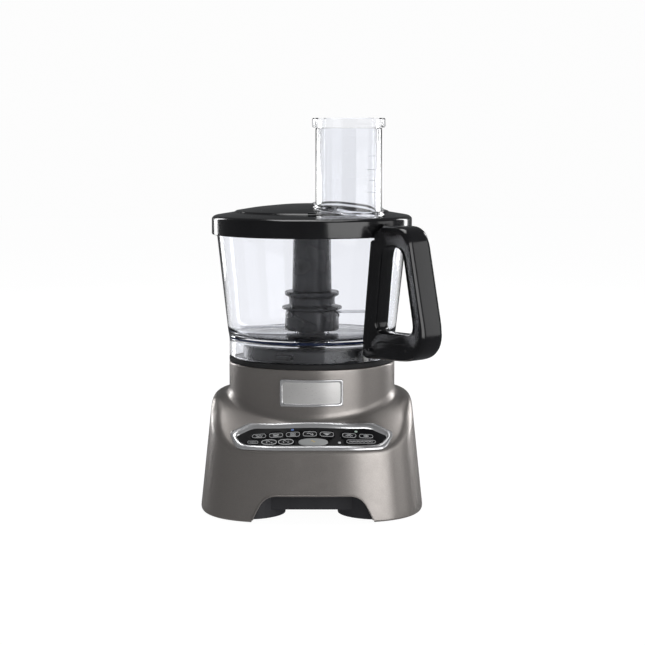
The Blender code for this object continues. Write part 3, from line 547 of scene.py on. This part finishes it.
def panel_point(x, along):
    half = BASE_HALF - BASE_TAPER * CREASE_FRONT
    front = half * FRONT_STRETCH * (1 - (abs(x) / half) ** BASE_POWER) ** (1 / BASE_POWER)
    return x, -front + 1.2 + along * PANEL_RUN


def panel_edge(inset=0.0, along_steps=12, soften=0.0):
    sink = inset / PANEL_RUN * 0.55
    corners = [
        (-76 + inset, sink), (76 - inset, sink), (85 - inset, 0.4),
        (65 - inset * 0.7, 1 - sink), (-65 + inset * 0.7, 1 - sink), (-85 + inset, 0.4),
    ]
    flat = [(x, along * PANEL_RUN * 1.45) for x, along in corners]
    flat = rounded(flat, [5, 5, 5, 6, 6, 5], 5) if soften else flat
    out = []
    for i, (x, up) in enumerate(flat):
        after = flat[(i + 1) % len(flat)]
        steps = max(1, round(math.dist((x, up), after) / (152 / along_steps)))
        for k in range(steps):
            t = k / steps
            across, along = x + t * (after[0] - x), (up + t * (after[1] - up)) / PANEL_RUN / 1.45
            out.append(panel_point(across, along * (1 + TOP_RISE * (across / 65) ** 2)))
    return out


def over_deck(points, lift):
    return [to_world((x, y, deck_height(x, y)), lift) for x, y in points]


def draped(name, finish, outline, low, high, sharp=40):
    """A solid plate that follows the deck: its rows cross the outline from the lower to the upper edge."""
    xs = [p[0] for p in outline]
    steps = 40
    left, right = min(xs) + 0.02, max(xs) - 0.02
    rows = []
    for i in range(steps + 1):
        x = left + (right - left) * i / steps
        ys = crossing(outline, x)
        rows.append([(x, min(ys) + (max(ys) - min(ys)) * k / 6) for k in range(7)])
    builder = bmesh.new()
    top = [[builder.verts.new(p) for p in over_deck(row, high)] for row in rows]
    bottom = [[builder.verts.new(p) for p in over_deck(row, low)] for row in rows]
    for a, b in ((top, 1), (bottom, -1)):
        for i in range(steps):
            for k in range(6):
                builder.faces.new((a[i][k], a[i + 1][k], a[i + 1][k + 1], a[i][k + 1])[::b])
    for i in range(steps):
        for k in (0, 6):
            builder.faces.new((top[i][k], top[i + 1][k], bottom[i + 1][k], bottom[i][k]))
    for i in (0, steps):
        for k in range(6):
            builder.faces.new((top[i][k], top[i][k + 1], bottom[i][k + 1], bottom[i][k]))
    return new_object(name, builder, finish, sharp)


def crossing(outline, x):
    """Where an upright line at x meets a plan outline."""
    found = []
    for (ax, ay), (bx, by) in zip(outline, outline[1:] + outline[:1]):
        if (ax - x) * (bx - x) <= 0 and ax != bx:
            found.append(ay + (x - ax) / (bx - ax) * (by - ay))
    return found


def rim(name, finish, outer, inner, section, body, slot, *nodes):
    """A ring that follows the deck between two outlines; section lists (share across, lift) round it."""
    rows = []
    for share, lift in section:
        ring = [(o[0] + share * (i[0] - o[0]), o[1] + share * (i[1] - o[1])) for o, i in zip(outer, inner)]
        rows.append(over_deck(ring, lift))
    return keep(new_object(name, rows_to_builder(rows, True), finish, 50), body, slot, *nodes)


def key_flat(half_x, half_y, oval):
    if oval:
        angles = [TAU * i / 48 for i in range(48)]
        reach = [power_radius(a, half_x, half_y, 2.5) for a in angles]
        return [(r * math.cos(a), r * math.sin(a)) for r, a in zip(reach, angles)]
    corners = [(half_x, half_y), (-half_x, half_y), (-half_x, -half_y), (half_x, -half_y)]
    return rounded(corners, min(half_x, half_y) * 0.96, 11)


def key_shape(x, along, half_x, half_y, oval=False):
    flat = key_flat(half_x, half_y, oval)
    return [panel_point(x + px, along + py * KEY_SLOPE / PANEL_RUN) for px, py in flat]


def stroke(points, x, along, width, lift, builder):
    """Adds one printed line, as a thin raised ribbon, to a builder. Points are millimetres on the key."""
    for (ax, ay), (bx, by) in zip(points, points[1:]):
        length = math.dist((ax, ay), (bx, by)) or 1
        nx, ny = -(by - ay) / length * width / 2, (bx - ax) / length * width / 2
        corners = [(ax + nx, ay + ny), (bx + nx, by + ny), (bx - nx, by - ny), (ax - nx, ay - ny)]
        plan = [panel_point(x + px, along + py * KEY_SLOPE / PANEL_RUN) for px, py in corners]
        top = [builder.verts.new(p) for p in over_deck(plan, lift + 0.06)]
        low = [builder.verts.new(p) for p in over_deck(plan, lift - 0.05)]
        builder.faces.new(top)
        builder.faces.new(low[::-1])
        for i in range(4):
            k = (i + 1) % 4
            builder.faces.new((top[k], top[i], low[i], low[k]))


def loop(radius_x, radius_y, centre=(0, 0), count=14, part=1.0):
    turns = [TAU * part * i / count for i in range(count + 1)]
    return [(centre[0] + radius_x * math.cos(a), centre[1] + radius_y * math.sin(a)) for a in turns]


def wave(width, height, turns, centre=(0, 0)):
    left, level = centre[0] - width / 2, centre[1]
    return [(left + width * i / 16, level + height * math.sin(TAU * turns * i / 16)) for i in range(17)]


ICONS = {
    "programme_key_1": [wave(7, 0.8, 2, (0, 0.5)), [(-3, -1.4), (3, -1.4)]],
    "programme_key_2": [
        [(-3, 0.9), (0, 0.2), (3, 0.9)], [(-3, 0.2), (0, -0.5), (3, 0.2)], [(-2.5, -1.5), (2.5, -1.5)],
    ],
    "programme_key_3": [loop(1.1, 0.9, (-1.4, 0.5)), loop(1.1, 0.9, (1.4, 0.5)), [(-3, -1.4), (3, -1.4)]],
    "programme_key_4": [wave(6, 0.7, 1, (0, 0.2)), loop(0.7, 0.6, (2.6, -0.8))],
    "programme_key_5": [[(-3.4, 0.8), (3.4, 0.8)], [(-2.2, -0.1), (2.2, -0.1)], [(-1, -1), (1, -1)]],
    "programme_key_6": [wave(7, 0.6, 2.5, (0, -0.5)), [(-2, 1.1), (2, 1.1)]],
    "programme_key_7": [loop(2.4, 1.1, (0, 0.1)), [(-1.2, 0.1), (1.2, 0.1)]],
    "stop_key": [[(-3.2, 0), (3.2, 0)]],
    "slow_key": [loop(1.6, 1.5, (-1.2, 0), 10, 0.7), [(1.6, -0.8), (3.4, -0.8)]],
    "fast_key": [loop(1.6, 1.5, (-1.2, 0), 10, 0.7), [(1.6, -0.8), (3.4, -0.8)], [(1.6, 0.6), (3.4, 0.6)]],
    "pulse_key": [wave(24, 0.7, 6)],
}

OVAL_KEYS = ("slow_key", "fast_key", "start_key")

KEYS = [
    (f"programme_key_{i}", x, 0.585, 7.3, 3.0, FACE)
    for i, x in enumerate((-53.4, -36.1, -18.8, -1.5, 15.8, 38.5, 55.8), 1)
]
KEYS += [
    ("stop_key", -59.6, 0.31, 5.6, 2.1, FACE),
    ("slow_key", -43.0, 0.31, 8.0, 3.6, FACE),
    ("fast_key", -25.9, 0.31, 8.0, 3.6, FACE),
    ("start_key", 1.9, 0.31, 15.0, 4.2, SILVER),
    ("pulse_key", 50.6, 0.33, 15.6, 2.5, FACE),
]


LIGHTS = (
    ("blue_light", -19.4, 0.80, BLUE_MARK),
    ("green_light", 45.5, 0.80, GREEN_MARK),
    ("small_light", 28.5, 0.31, PRINT),
)
LIGHT_SECTION = ((1, 0.3), (1, 0.5), (0.6, 0.75))


def make_keys():
    for name, x, along, half_x, half_y, finish in KEYS:
        top = FACE_TOP + KEY_PROUD
        section = [(0, top - 2.2), (0, top - 0.35), (0.12, top - 0.08), (0.3, top), (1, top + 0.1)]
        oval = name in OVAL_KEYS
        shape = key_shape(x, along, half_x, half_y, oval)
        heart = key_shape(x, along, half_x * 0.9, 0.3, oval)
        rows = []
        for share, lift in section:
            ring = [(o[0] + share * (i[0] - o[0]), o[1] + share * (i[1] - o[1])) for o, i in zip(shape, heart)]
            rows.append(over_deck(ring, lift))
        cap = keep(new_object(f"{name}_top", rows_to_builder(rows, False), finish), f"{name}_cap",
                   "silver_key" if finish is SILVER else "black_gloss", name)
        builder = bmesh.new()
        if finish is FACE:
            edge = [(px * 0.94, py * 0.88) for px, py in key_flat(half_x, half_y, oval)]
            stroke(edge + edge[:1], x, along, 0.75 if oval else 0.42, top + 0.05, builder)
            for line in ICONS[name]:
                stroke(line, x, along, 0.5, top + 0.1, builder)
            keep(new_object(f"{name}_print", builder, PRINT), f"{name}_cap", "silver_key")
        else:
            stroke(wave(3.4, 0.9, 1), x, along, 0.8, top + 0.1, builder)
            keep(new_object(f"{name}_print", builder, AMBER_MARK), f"{name}_cap", "silver_key")


def make_keypad():
    outer, inner = panel_edge(0.0, 40, 1.0), panel_edge(PANEL_INSET, 40, 1.0)
    count = 140
    outer, inner = even(outer, count), even(inner, count)
    section = [(0, 0.5), (0, 1.6), (0.08, 2.2), (0.25, 2.45), (0.62, 2.3), (0.9, 1.6), (1, 0.7), (1, 0.3)]
    rim("keypad_frame", CHROME, outer, inner, section, "base", "bright_trim", "panel_frame")
    face = draped("keypad_face", FACE, panel_edge(PANEL_INSET * 0.66, 24), -2.2, FACE_TOP)
    for name, x, along, half_x, half_y, _finish in KEYS:
        room = KEY_DRIFT / 2
        wide, high = half_x + KEY_GAP, half_y + KEY_GAP + room
        hole = key_shape(x, along + room / PANEL_RUN, wide, high, name in OVAL_KEYS)
        rows = [over_deck(even(hole, 48), lift) for lift in (-6, 6)]
        cut_with(face, new_object("hole", rows_to_builder(rows, False), GLOSS))
    keep(face, "base", "black_gloss", "panel_face")
    for name, x, along, finish in LIGHTS:
        rows = [over_deck(key_shape(x, along, 1.5 * g, 1.2 * g), lift) for g, lift in LIGHT_SECTION]
        keep(new_object(name, rows_to_builder(rows, False), finish), "base", "silver_key")


def even(outline, count):
    points = np.array(outline + outline[:1])
    lengths = np.concatenate([[0], np.cumsum(np.linalg.norm(np.diff(points, axis=0), axis=1))])
    wanted = np.linspace(0, lengths[-1], count + 1)[:-1]
    return list(zip(np.interp(wanted, lengths, points[:, 0]), np.interp(wanted, lengths, points[:, 1])))


# ---- deck, collar and badge on the neck ----

DRUM_RADIUS, DRUM_TOP, DECK_TOP, DECK_RADIUS = 73.0, 171.5, 158.0, 83.6
LUG_ANGLES = (-112, 8, 128)
BADGE_HALF_WIDE, BADGE_LOW, BADGE_HIGH = 32.0, 114.7, 142.5


def block(name, finish, half, place, turn, rounding):
    """A rounded block, sizes in millimetres, turned about the spindle."""
    builder = bmesh.new()
    bmesh.ops.create_cube(builder, size=2)
    bmesh.ops.scale(builder, vec=Vector(half) * MM, verts=builder.verts)
    edges = builder.edges[:]
    bmesh.ops.bevel(builder, geom=edges, offset=rounding * MM, segments=3, affect="EDGES", profile=0.5)
    move = Matrix.Translation(SPINDLE) @ Matrix.Rotation(math.radians(turn), 4, "Z")
    builder.transform(move @ Matrix.Translation(Vector(place) * MM))
    return new_object(name, builder, finish)


def make_deck():
    low = NECK_TOP + 0.7
    profile = rounded(
        [(14.5, DRUM_TOP), (DRUM_RADIUS, DRUM_TOP), (DRUM_RADIUS, DECK_TOP), (DECK_RADIUS, DECK_TOP),
         (DECK_RADIUS, low), (70, low), (70, 167), (14.5, 168.5)],
        [0.6, 4, 1.2, 1, 0.4, 0.4, 1, 0.4])
    keep(lathe("deck_and_drum", SATIN, profile), "base", "black_plastic", "drive_deck")
    for i, turn in enumerate(LUG_ANGLES, 1):
        keep(block(f"locking_lug_{i}", SATIN, (4.4, 8.8, 2.4), (DRUM_RADIUS + 0.7, 0, 163.5), turn, 0.8),
             "base", "black_plastic")
    sleeve = rounded([(12.3, 191.4), (14.4, 191.4), (14.4, 168.6), (12.3, 168.6)], 0.5)
    keep(lathe("shaft_sleeve", SATIN, sleeve, 64), "base", "black_plastic")
    collar = rounded([(83.9, 157.7), (88.2, 157.7), (88.2, 152.6), (83.9, 152.6)], 1.2)
    keep(lathe("neck_collar", RUBBER, collar), "base", "rubber", "collar_ring")


def badge_ring(inset, radius, count=140):
    """A rounded rectangle wrapped on the neck."""
    half_x = BADGE_HALF_WIDE - inset
    half_z = (BADGE_HIGH - BADGE_LOW) / 2 - inset
    flat = rounded([(half_x, half_z), (-half_x, half_z), (-half_x, -half_z), (half_x, -half_z)], 2.2)
    centre = (BADGE_LOW + BADGE_HIGH) / 2
    ring = []
    for x, z in even(flat, count):
        angle = -math.pi / 2 + math.asin(x / NECK_RADIUS)
        ring.append(to_world((radius * math.cos(angle), radius * math.sin(angle), centre + z)))
    return ring


def make_badge():
    section = [(0, 0.35), (0, 1.6), (0.35, 2.2), (1.1, 2.35), (2.1, 2.2), (2.9, 1.5), (3.1, 1.2), (3.1, 0.4)]
    rows = [badge_ring(inset, NECK_RADIUS + lift) for inset, lift in section]
    badge = new_object("badge_rim", rows_to_builder(rows, True), CHROME, 60)
    keep(badge, "base", "bright_trim", "badge_plate")
    half_x, half_z = BADGE_HALF_WIDE - 2.6, (BADGE_HIGH - BADGE_LOW) / 2 - 2.6
    centre = (BADGE_LOW + BADGE_HIGH) / 2
    rows = []
    for i in range(41):
        angle = -math.pi / 2 + math.asin((i / 20 - 1) * half_x / NECK_RADIUS)
        ring = [(NECK_RADIUS + 0.4, -half_z), (NECK_RADIUS + 1.45, -half_z), (NECK_RADIUS + 1.6, -half_z / 2),
                (NECK_RADIUS + 1.65, 0), (NECK_RADIUS + 1.6, half_z / 2), (NECK_RADIUS + 1.45, half_z),
                (NECK_RADIUS + 0.4, half_z)]
        rows.append([to_world((r * math.cos(angle), r * math.sin(angle), centre + z)) for r, z in ring])
    keep(new_object("badge_centre", rows_to_builder(rows, False), BRUSHED, 50), "base", "bright_trim")


# ---- bowl, handle and knife ----

BOWL_LOW, BOWL_LOW_RADIUS, BOWL_HIGH, BOWL_HIGH_RADIUS, BOWL_RIM = 184.0, 89.4, 281.0, 100.3, 291.0
HANDLE_TURN = -46


def bowl_radius(height):
    share = (height - BOWL_LOW) / (BOWL_HIGH - BOWL_LOW)
    return BOWL_LOW_RADIUS + share * (BOWL_HIGH_RADIUS - BOWL_LOW_RADIUS)


def make_bowl():
    top = bowl_radius(BOWL_RIM)
    profile = rounded(
        [(top - 3, BOWL_RIM), (top, BOWL_RIM), (BOWL_LOW_RADIUS, BOWL_LOW), (88, 177), (88, 158.4),
         (84.8, 158.4), (84.8, 176.8), (15, 176.8), (15, 201), (17.5, 201), (17.5, 181), (82.5, 181),
         (bowl_radius(187) - 3, 187)],
        [1.3, 1.3, 4, 4, 1.4, 1.4, 3, 0.8, 1, 1, 3, 6, 6], 6)
    keep(lathe("bowl_shell", CLEAR, profile, 160, sharp=50), "bowl_group", "clear_plastic", "bowl")
    # A dark navy ring inside the clear floor's outer corner: painted shade in place of the dark drum and
    # collar seen through the floor by refraction.
    shade_ring = rounded([(83.2, 180.1), (84.6, 180.1), (85.6, 177.6), (84.2, 177.6)], 0.4)
    keep(lathe("bowl_floor_painted_shade_ring", PAINTED_REFRACTION_SHADE, shade_ring, 160), "bowl_group", "clear_plastic")


def reach_of(outline, centre, angle):
    """How far a ray from the centre runs to an outline."""
    direction = Vector((math.cos(angle), math.sin(angle)))
    best = 0
    for (ax, ay), (bx, by) in zip(outline, outline[1:] + outline[:1]):
        edge = Vector((bx - ax, by - ay))
        start = Vector((ax - centre[0], ay - centre[1]))
        cross = direction.x * edge.y - direction.y * edge.x
        if abs(cross) < 1e-9:
            continue
        along = (start.x * edge.y - start.y * edge.x) / cross
        share = (start.x * direction.y - start.y * direction.x) / cross
        if along > 0 and -1e-9 <= share <= 1 + 1e-9:
            best = max(best, along)
    return best


HANDLE_SECTION = [
    (0.0, -9.5), (0.012, -12.6), (0.06, -14.8), (0.13, -15.5), (0.3, -15.0), (0.62, -12.6), (0.84, -10.8),
    (0.95, -9.4), (1.0, -7.0),
]


def make_handle():
    """A frame round the finger opening: wide at its outside, narrower towards the fingers."""
    outline = rounded(
        [(90.6, 163), (182, 165), (154, 300.5), (117, 300.5), (113.5, 295.4), (107.4, 295.4), (107.4, 286.4),
         (bowl_radius(286) + 0.8, 285.4), (90.6, 184)],
        [5, 40, 30, 3, 1.5, 1.5, 1, 1, 3], 14)
    hole = rounded([(103.5, 191), (157.5, 191), (140.5, 279), (113, 279)], [11, 14, 16, 10], 10)
    section = HANDLE_SECTION + [(share, -half) for share, half in reversed(HANDLE_SECTION)]
    centre = (128, 232)
    turned = Matrix.Translation(SPINDLE) @ Matrix.Rotation(math.radians(HANDLE_TURN), 4, "Z")
    rows = []
    for i in range(300):
        angle = TAU * i / 300
        outer, inner = reach_of(outline, centre, angle), reach_of(hole, centre, angle)
        row = []
        for share, half in section:
            run = outer + share * (inner - outer)
            place = Vector((centre[0] + run * math.cos(angle), half, centre[1] + run * math.sin(angle)))
            row.append(turned @ (place * MM))
        rows.append(row)
    handle = new_object("handle_grip", rows_to_builder(rows, True), GLOSS, 34)
    keep(handle, "bowl_group", "black_gloss", "bowl_handle")
    for side, label in ((-1, "front"), (1, "back")):
        groove = rounded([(108, 171.5), (151, 172), (149.5, 182), (109.5, 182)], [4, 4, 4.5, 4], 6)
        path = [turned @ (Vector((r, side * (14.3 if z < 176 else 12.9), z)) * MM) for r, z in groove]
        tube(f"handle_bead_{label}", GLOSS, path, 0.8 * MM, "bowl_group", "black_gloss", True)
    for side, label in ((-1, "front"), (1, "back")):
        path = [turned @ (Vector((110 + 3.2 * math.cos(a), side * 12.9, 287 + 3.2 * math.sin(a))) * MM)
                for a in np.linspace(0, TAU, 25)[:-1]]
        tube(f"handle_pin_ring_{label}", GLOSS, path, 0.7 * MM, "bowl_group", "black_gloss", True)


BLADE_SECTION = (
    (0, 0.75), (0.3, 0.06), (0.97, 0.05), (1, 0.3), (1, 1.5), (0.97, 1.75), (0.34, 1.74), (0, 0.95),
)


def make_knife():
    hub = rounded(
        [(12.4, 216), (12.4, 225), (29, 225), (29, 221), (24.5, 219), (24.5, 210.5), (32, 209), (32, 206.8),
         (27.2, 205.6), (28.2, 203), (28.8, 192), (28.8, 184.5), (18.5, 184.5), (18.5, 203), (12.4, 203)],
        [0, 0, 1.4, 1.4, 2, 2, 0.8, 0.8, 2, 3, 3, 1, 1, 1, 1])
    keep(lathe("knife_hub", HUB, hub, 96), "knife", "black_plastic", "blade_hub")
    cap = rounded([(0.01, 224.9), (0.01, 216.1), (12.6, 216.1), (12.6, 224.9)], 0.3)
    keep(lathe("knife_hub_core", HUB, cap, 64), "knife", "black_plastic")
    stem = [(0.01, 302), (5, 302), (5, 297), (20, 297), (21, 225.3), (0.01, 225.3)]
    column = rounded(stem, [0, 1.2, 1, 3, 1, 0])
    keep(lathe("knife_column", HUB, column, 96), "knife", "black_plastic", "blade_column")
    for i in range(3):
        path = []
        for k in range(25):
            angle = math.radians(-150 + i * 120 + 70 * k / 24)
            path.append(to_world((28.2 * math.cos(angle), 28.2 * math.sin(angle), 206.0 - 15 * k / 24)))
        tube(f"hub_ramp_{i + 1}", HUB, path, 1.3 * MM, "knife", "black_plastic")


def blade(name, node, root, tip, low, turn):
    """A curved blade: full thickness at its back, ground to a thin edge along the front."""
    rows = []
    steps = 40
    for i in range(steps + 1):
        t = i / steps
        half = 11.0
        edge = Vector((root + (tip - root) * t, -half * (1 - 0.2 * t) + 9 * t * t))
        back = Vector((root + (tip - 7 - root) * t, half * (1 - 0.1 * t) + 5 * t * t))
        scallop = 0.5 * abs(math.sin(9 * math.pi * t))
        ring = []
        for share, height in BLADE_SECTION:
            point = edge.lerp(back, share)
            push = scallop if share == 0 else 0
            ring.append((point.x, point.y + push, low + height))
        rows.append([Matrix.Rotation(turn, 4, "Z") @ Vector(p) for p in ring])
    rows = [[to_world(p) for p in row] for row in rows]
    keep(new_object(name, rows_to_builder(rows, False), STEEL, 25), "knife", "steel", node)


# ---- lid, feed tube and pusher ----

TUBE_X, TUBE_Y, TUBE_HALF, TUBE_TOP, TUBE_POWER, TUBE_WALL = 38.6, -40.0, 34.6, 399.7, 2.3, 2.6
PUSHER_RIM, OVERALL_HEIGHT, PUSHER_BOTTOM = 38.2, 410.0, 306.0
LID_CROWN, LID_RADIUS = 320.0, 106.5
LID_TOP = [(0.01, LID_CROWN), (30, 318.9), (60, 315.9), (81, 312.4), (84, 310.8), (88, 310.0), (104, 306.8)]


def lid_height(radius):
    return float(np.interp(radius, [r for r, _z in LID_TOP], [z for _r, z in LID_TOP]))


def make_lid():
    profile = LID_TOP[:4] + [
        (82.5, 310.8), (88, 310.0), (103.5, 307.4), (LID_RADIUS, 305), (LID_RADIUS, 287.6), (103.6, 287.6),
        (103.6, 293.7), (96, 293.7), (94, 303), (60, 311), (0.01, 316.3),
    ]
    reach = [0, 8, 8, 1.2, 1.2, 3, 1.6, 1.6, 1, 0.5, 0.8, 1, 3, 3, 0]
    lid = lathe("lid_cover", GLOSS, rounded(profile, reach, 5), 160)
    outline = []
    for i in range(96):
        angle = TAU * i / 96
        radius = power_radius(angle, TUBE_HALF + 0.2, TUBE_HALF + 0.2, TUBE_POWER)
        outline.append((TUBE_X + radius * math.cos(angle), TUBE_Y + radius * math.sin(angle)))
    rows = [[to_world((x, y, z)) for x, y in outline] for z in (270, 340)]
    cut_with(lid, new_object("lid_opening", rows_to_builder(rows, False), GLOSS))
    lid.data.shade_smooth()
    lid.data.set_sharp_from_angle(angle=math.radians(35))
    keep(lid, "lid_group", "black_gloss", "lid")
    tab = block("lid_lock_tab", GLOSS, (4.4, 5.2, 1.9), (108.0, 0, 300), HANDLE_TURN, 0.8)
    keep(tab, "lid_group", "black_gloss")
    clip = block("tube_clip", SATIN, (4.5, 3.2, 3.2), (0.4, -78.5, 310.4), 0, 0.9)
    keep(clip, "lid_group", "black_plastic")
    boss = rounded([(9.2, 315.9), (9.2, 297.6), (12.5, 297.6), (12.5, 315.5)], 0.6)
    keep(lathe("lid_boss", SATIN, boss, 64), "lid_group", "black_plastic")


def tube_centre():
    return SPINDLE + Vector((TUBE_X, TUBE_Y, 0)) * MM


def make_feed_tube():
    inner = TUBE_HALF - TUBE_WALL
    profile = rounded([(inner, TUBE_TOP), (TUBE_HALF, TUBE_TOP), (TUBE_HALF, 297.5), (inner, 297.5)], 1.0, 4)
    wall = power_loft("tube_wall", CLEAR_TUBE, profile, TUBE_POWER, tube_centre())
    keep(wall, "lid_group", "clear_plastic", "feed_tube")
    rows = []
    for across, lift in rounded([(0.3, 0.2), (4.0, 0.2), (4.0, 2.6), (0.3, 4.2)], [0, 0.8, 0.9, 0], 3):
        ring = []
        for i in range(128):
            angle = TAU * i / 128
            reach = power_radius(angle, TUBE_HALF, TUBE_HALF, TUBE_POWER) + across
            x, y = TUBE_X + reach * math.cos(angle), TUBE_Y + reach * math.sin(angle)
            ring.append(to_world((x, y, lid_height(math.hypot(x, y)) + lift)))
        rows.append(ring)
    keep(new_object("tube_flange", rows_to_builder(rows, True), CLEAR_TUBE), "lid_group", "clear_plastic")
    for i, height in enumerate((334, 346, 357, 371), 1):
        make_tick(f"level_mark_{i}", height, 0.5 if i % 2 else 0.35)


def make_tick(name, height, long):
    """A small printed level mark on the right front of the tube."""
    rows = []
    for i in range(9):
        angle = -0.86 - long / 3 + long * i / 12
        ring = []
        for out, up in ((0.05, -0.45), (0.2, -0.45), (0.2, 0.45), (0.05, 0.45)):
            radius = power_radius(angle, TUBE_HALF, TUBE_HALF, TUBE_POWER) + out
            x, y = TUBE_X + radius * math.cos(angle), TUBE_Y + radius * math.sin(angle)
            ring.append(to_world((x, y, height + up)))
        rows.append(ring)
    keep(new_object(name, rows_to_builder(rows, False), FROST), "lid_group", "clear_plastic")


def make_pusher():
    body = TUBE_HALF - TUBE_WALL - 0.7
    profile = [
        (body - 4, PUSHER_BOTTOM + 2.5), (body - 2, PUSHER_BOTTOM + 4.5), (body - 2, 407), (body - 1.4, 409.2),
        (body, OVERALL_HEIGHT), (PUSHER_RIM - 1.2, OVERALL_HEIGHT), (PUSHER_RIM, 408.8), (PUSHER_RIM, 402),
        (PUSHER_RIM - 0.8, 400.2), (body + 0.6, 400.1), (body, 399.4), (body, PUSHER_BOTTOM + 2),
        (body - 2, PUSHER_BOTTOM),
    ]
    keep(power_loft("pusher_cup_wall", CLEAR_TUBE, profile, TUBE_POWER, tube_centre(), False), "pusher_cup",
         "clear_plastic", "pusher")


# ---- small parts, and finishes of the CAD nodes that stay ----


def make_pan_screws():
    for i, (sx, sy) in enumerate(((-1, -1), (1, -1), (-1, 1), (1, 1)), 1):
        centre = SPINDLE + Vector((sx * 53, sy * 53, 0)) * MM
        profile = rounded([(1.3, 1.2), (3.6, 1.2), (3.6, 2.9), (1.3, 2.9)], [0.3, 0.8, 0.1, 0.1])
        keep(lathe(f"pan_screw_{i}", STEEL, profile, 32, centre), "base", "steel")


SLOT_LOOKS = {
    "grey_paint": GREY, "dark_plastic": DARK, "black_plastic": SATIN, "black_gloss": GLOSS,
    "clear_plastic": CLEAR,
    "bright_trim": CHROME, "silver_key": SILVER, "rubber": RUBBER, "steel": STEEL, "aluminium": ALUMINIUM,
    "bronze": BRONZE, "copper": COPPER, "carbon": CARBON, "nylon": NYLON, "circuit": CIRCUIT,
}


def finish_cad_nodes():
    for row in frame["record"]["subparts"]:
        node = frame["nodes"][row["node"]]
        for slot in node.material_slots:
            slot.material = SLOT_LOOKS[row["material_slot"]]


make_camera()
make_studio()
finish_cad_nodes()
make_housing()
make_arch_lip()
make_keypad()
make_keys()
make_deck()
make_badge()
make_bowl()
make_handle()
make_knife()
blade("upper_blade_ground", "upper_blade", 26.0, 82.0, 202.0, 0)
blade("lower_blade_ground", "lower_blade", 29.4, 78.0, 187.0, math.pi)
make_lid()
make_feed_tube()
make_pusher()
make_pan_screws()
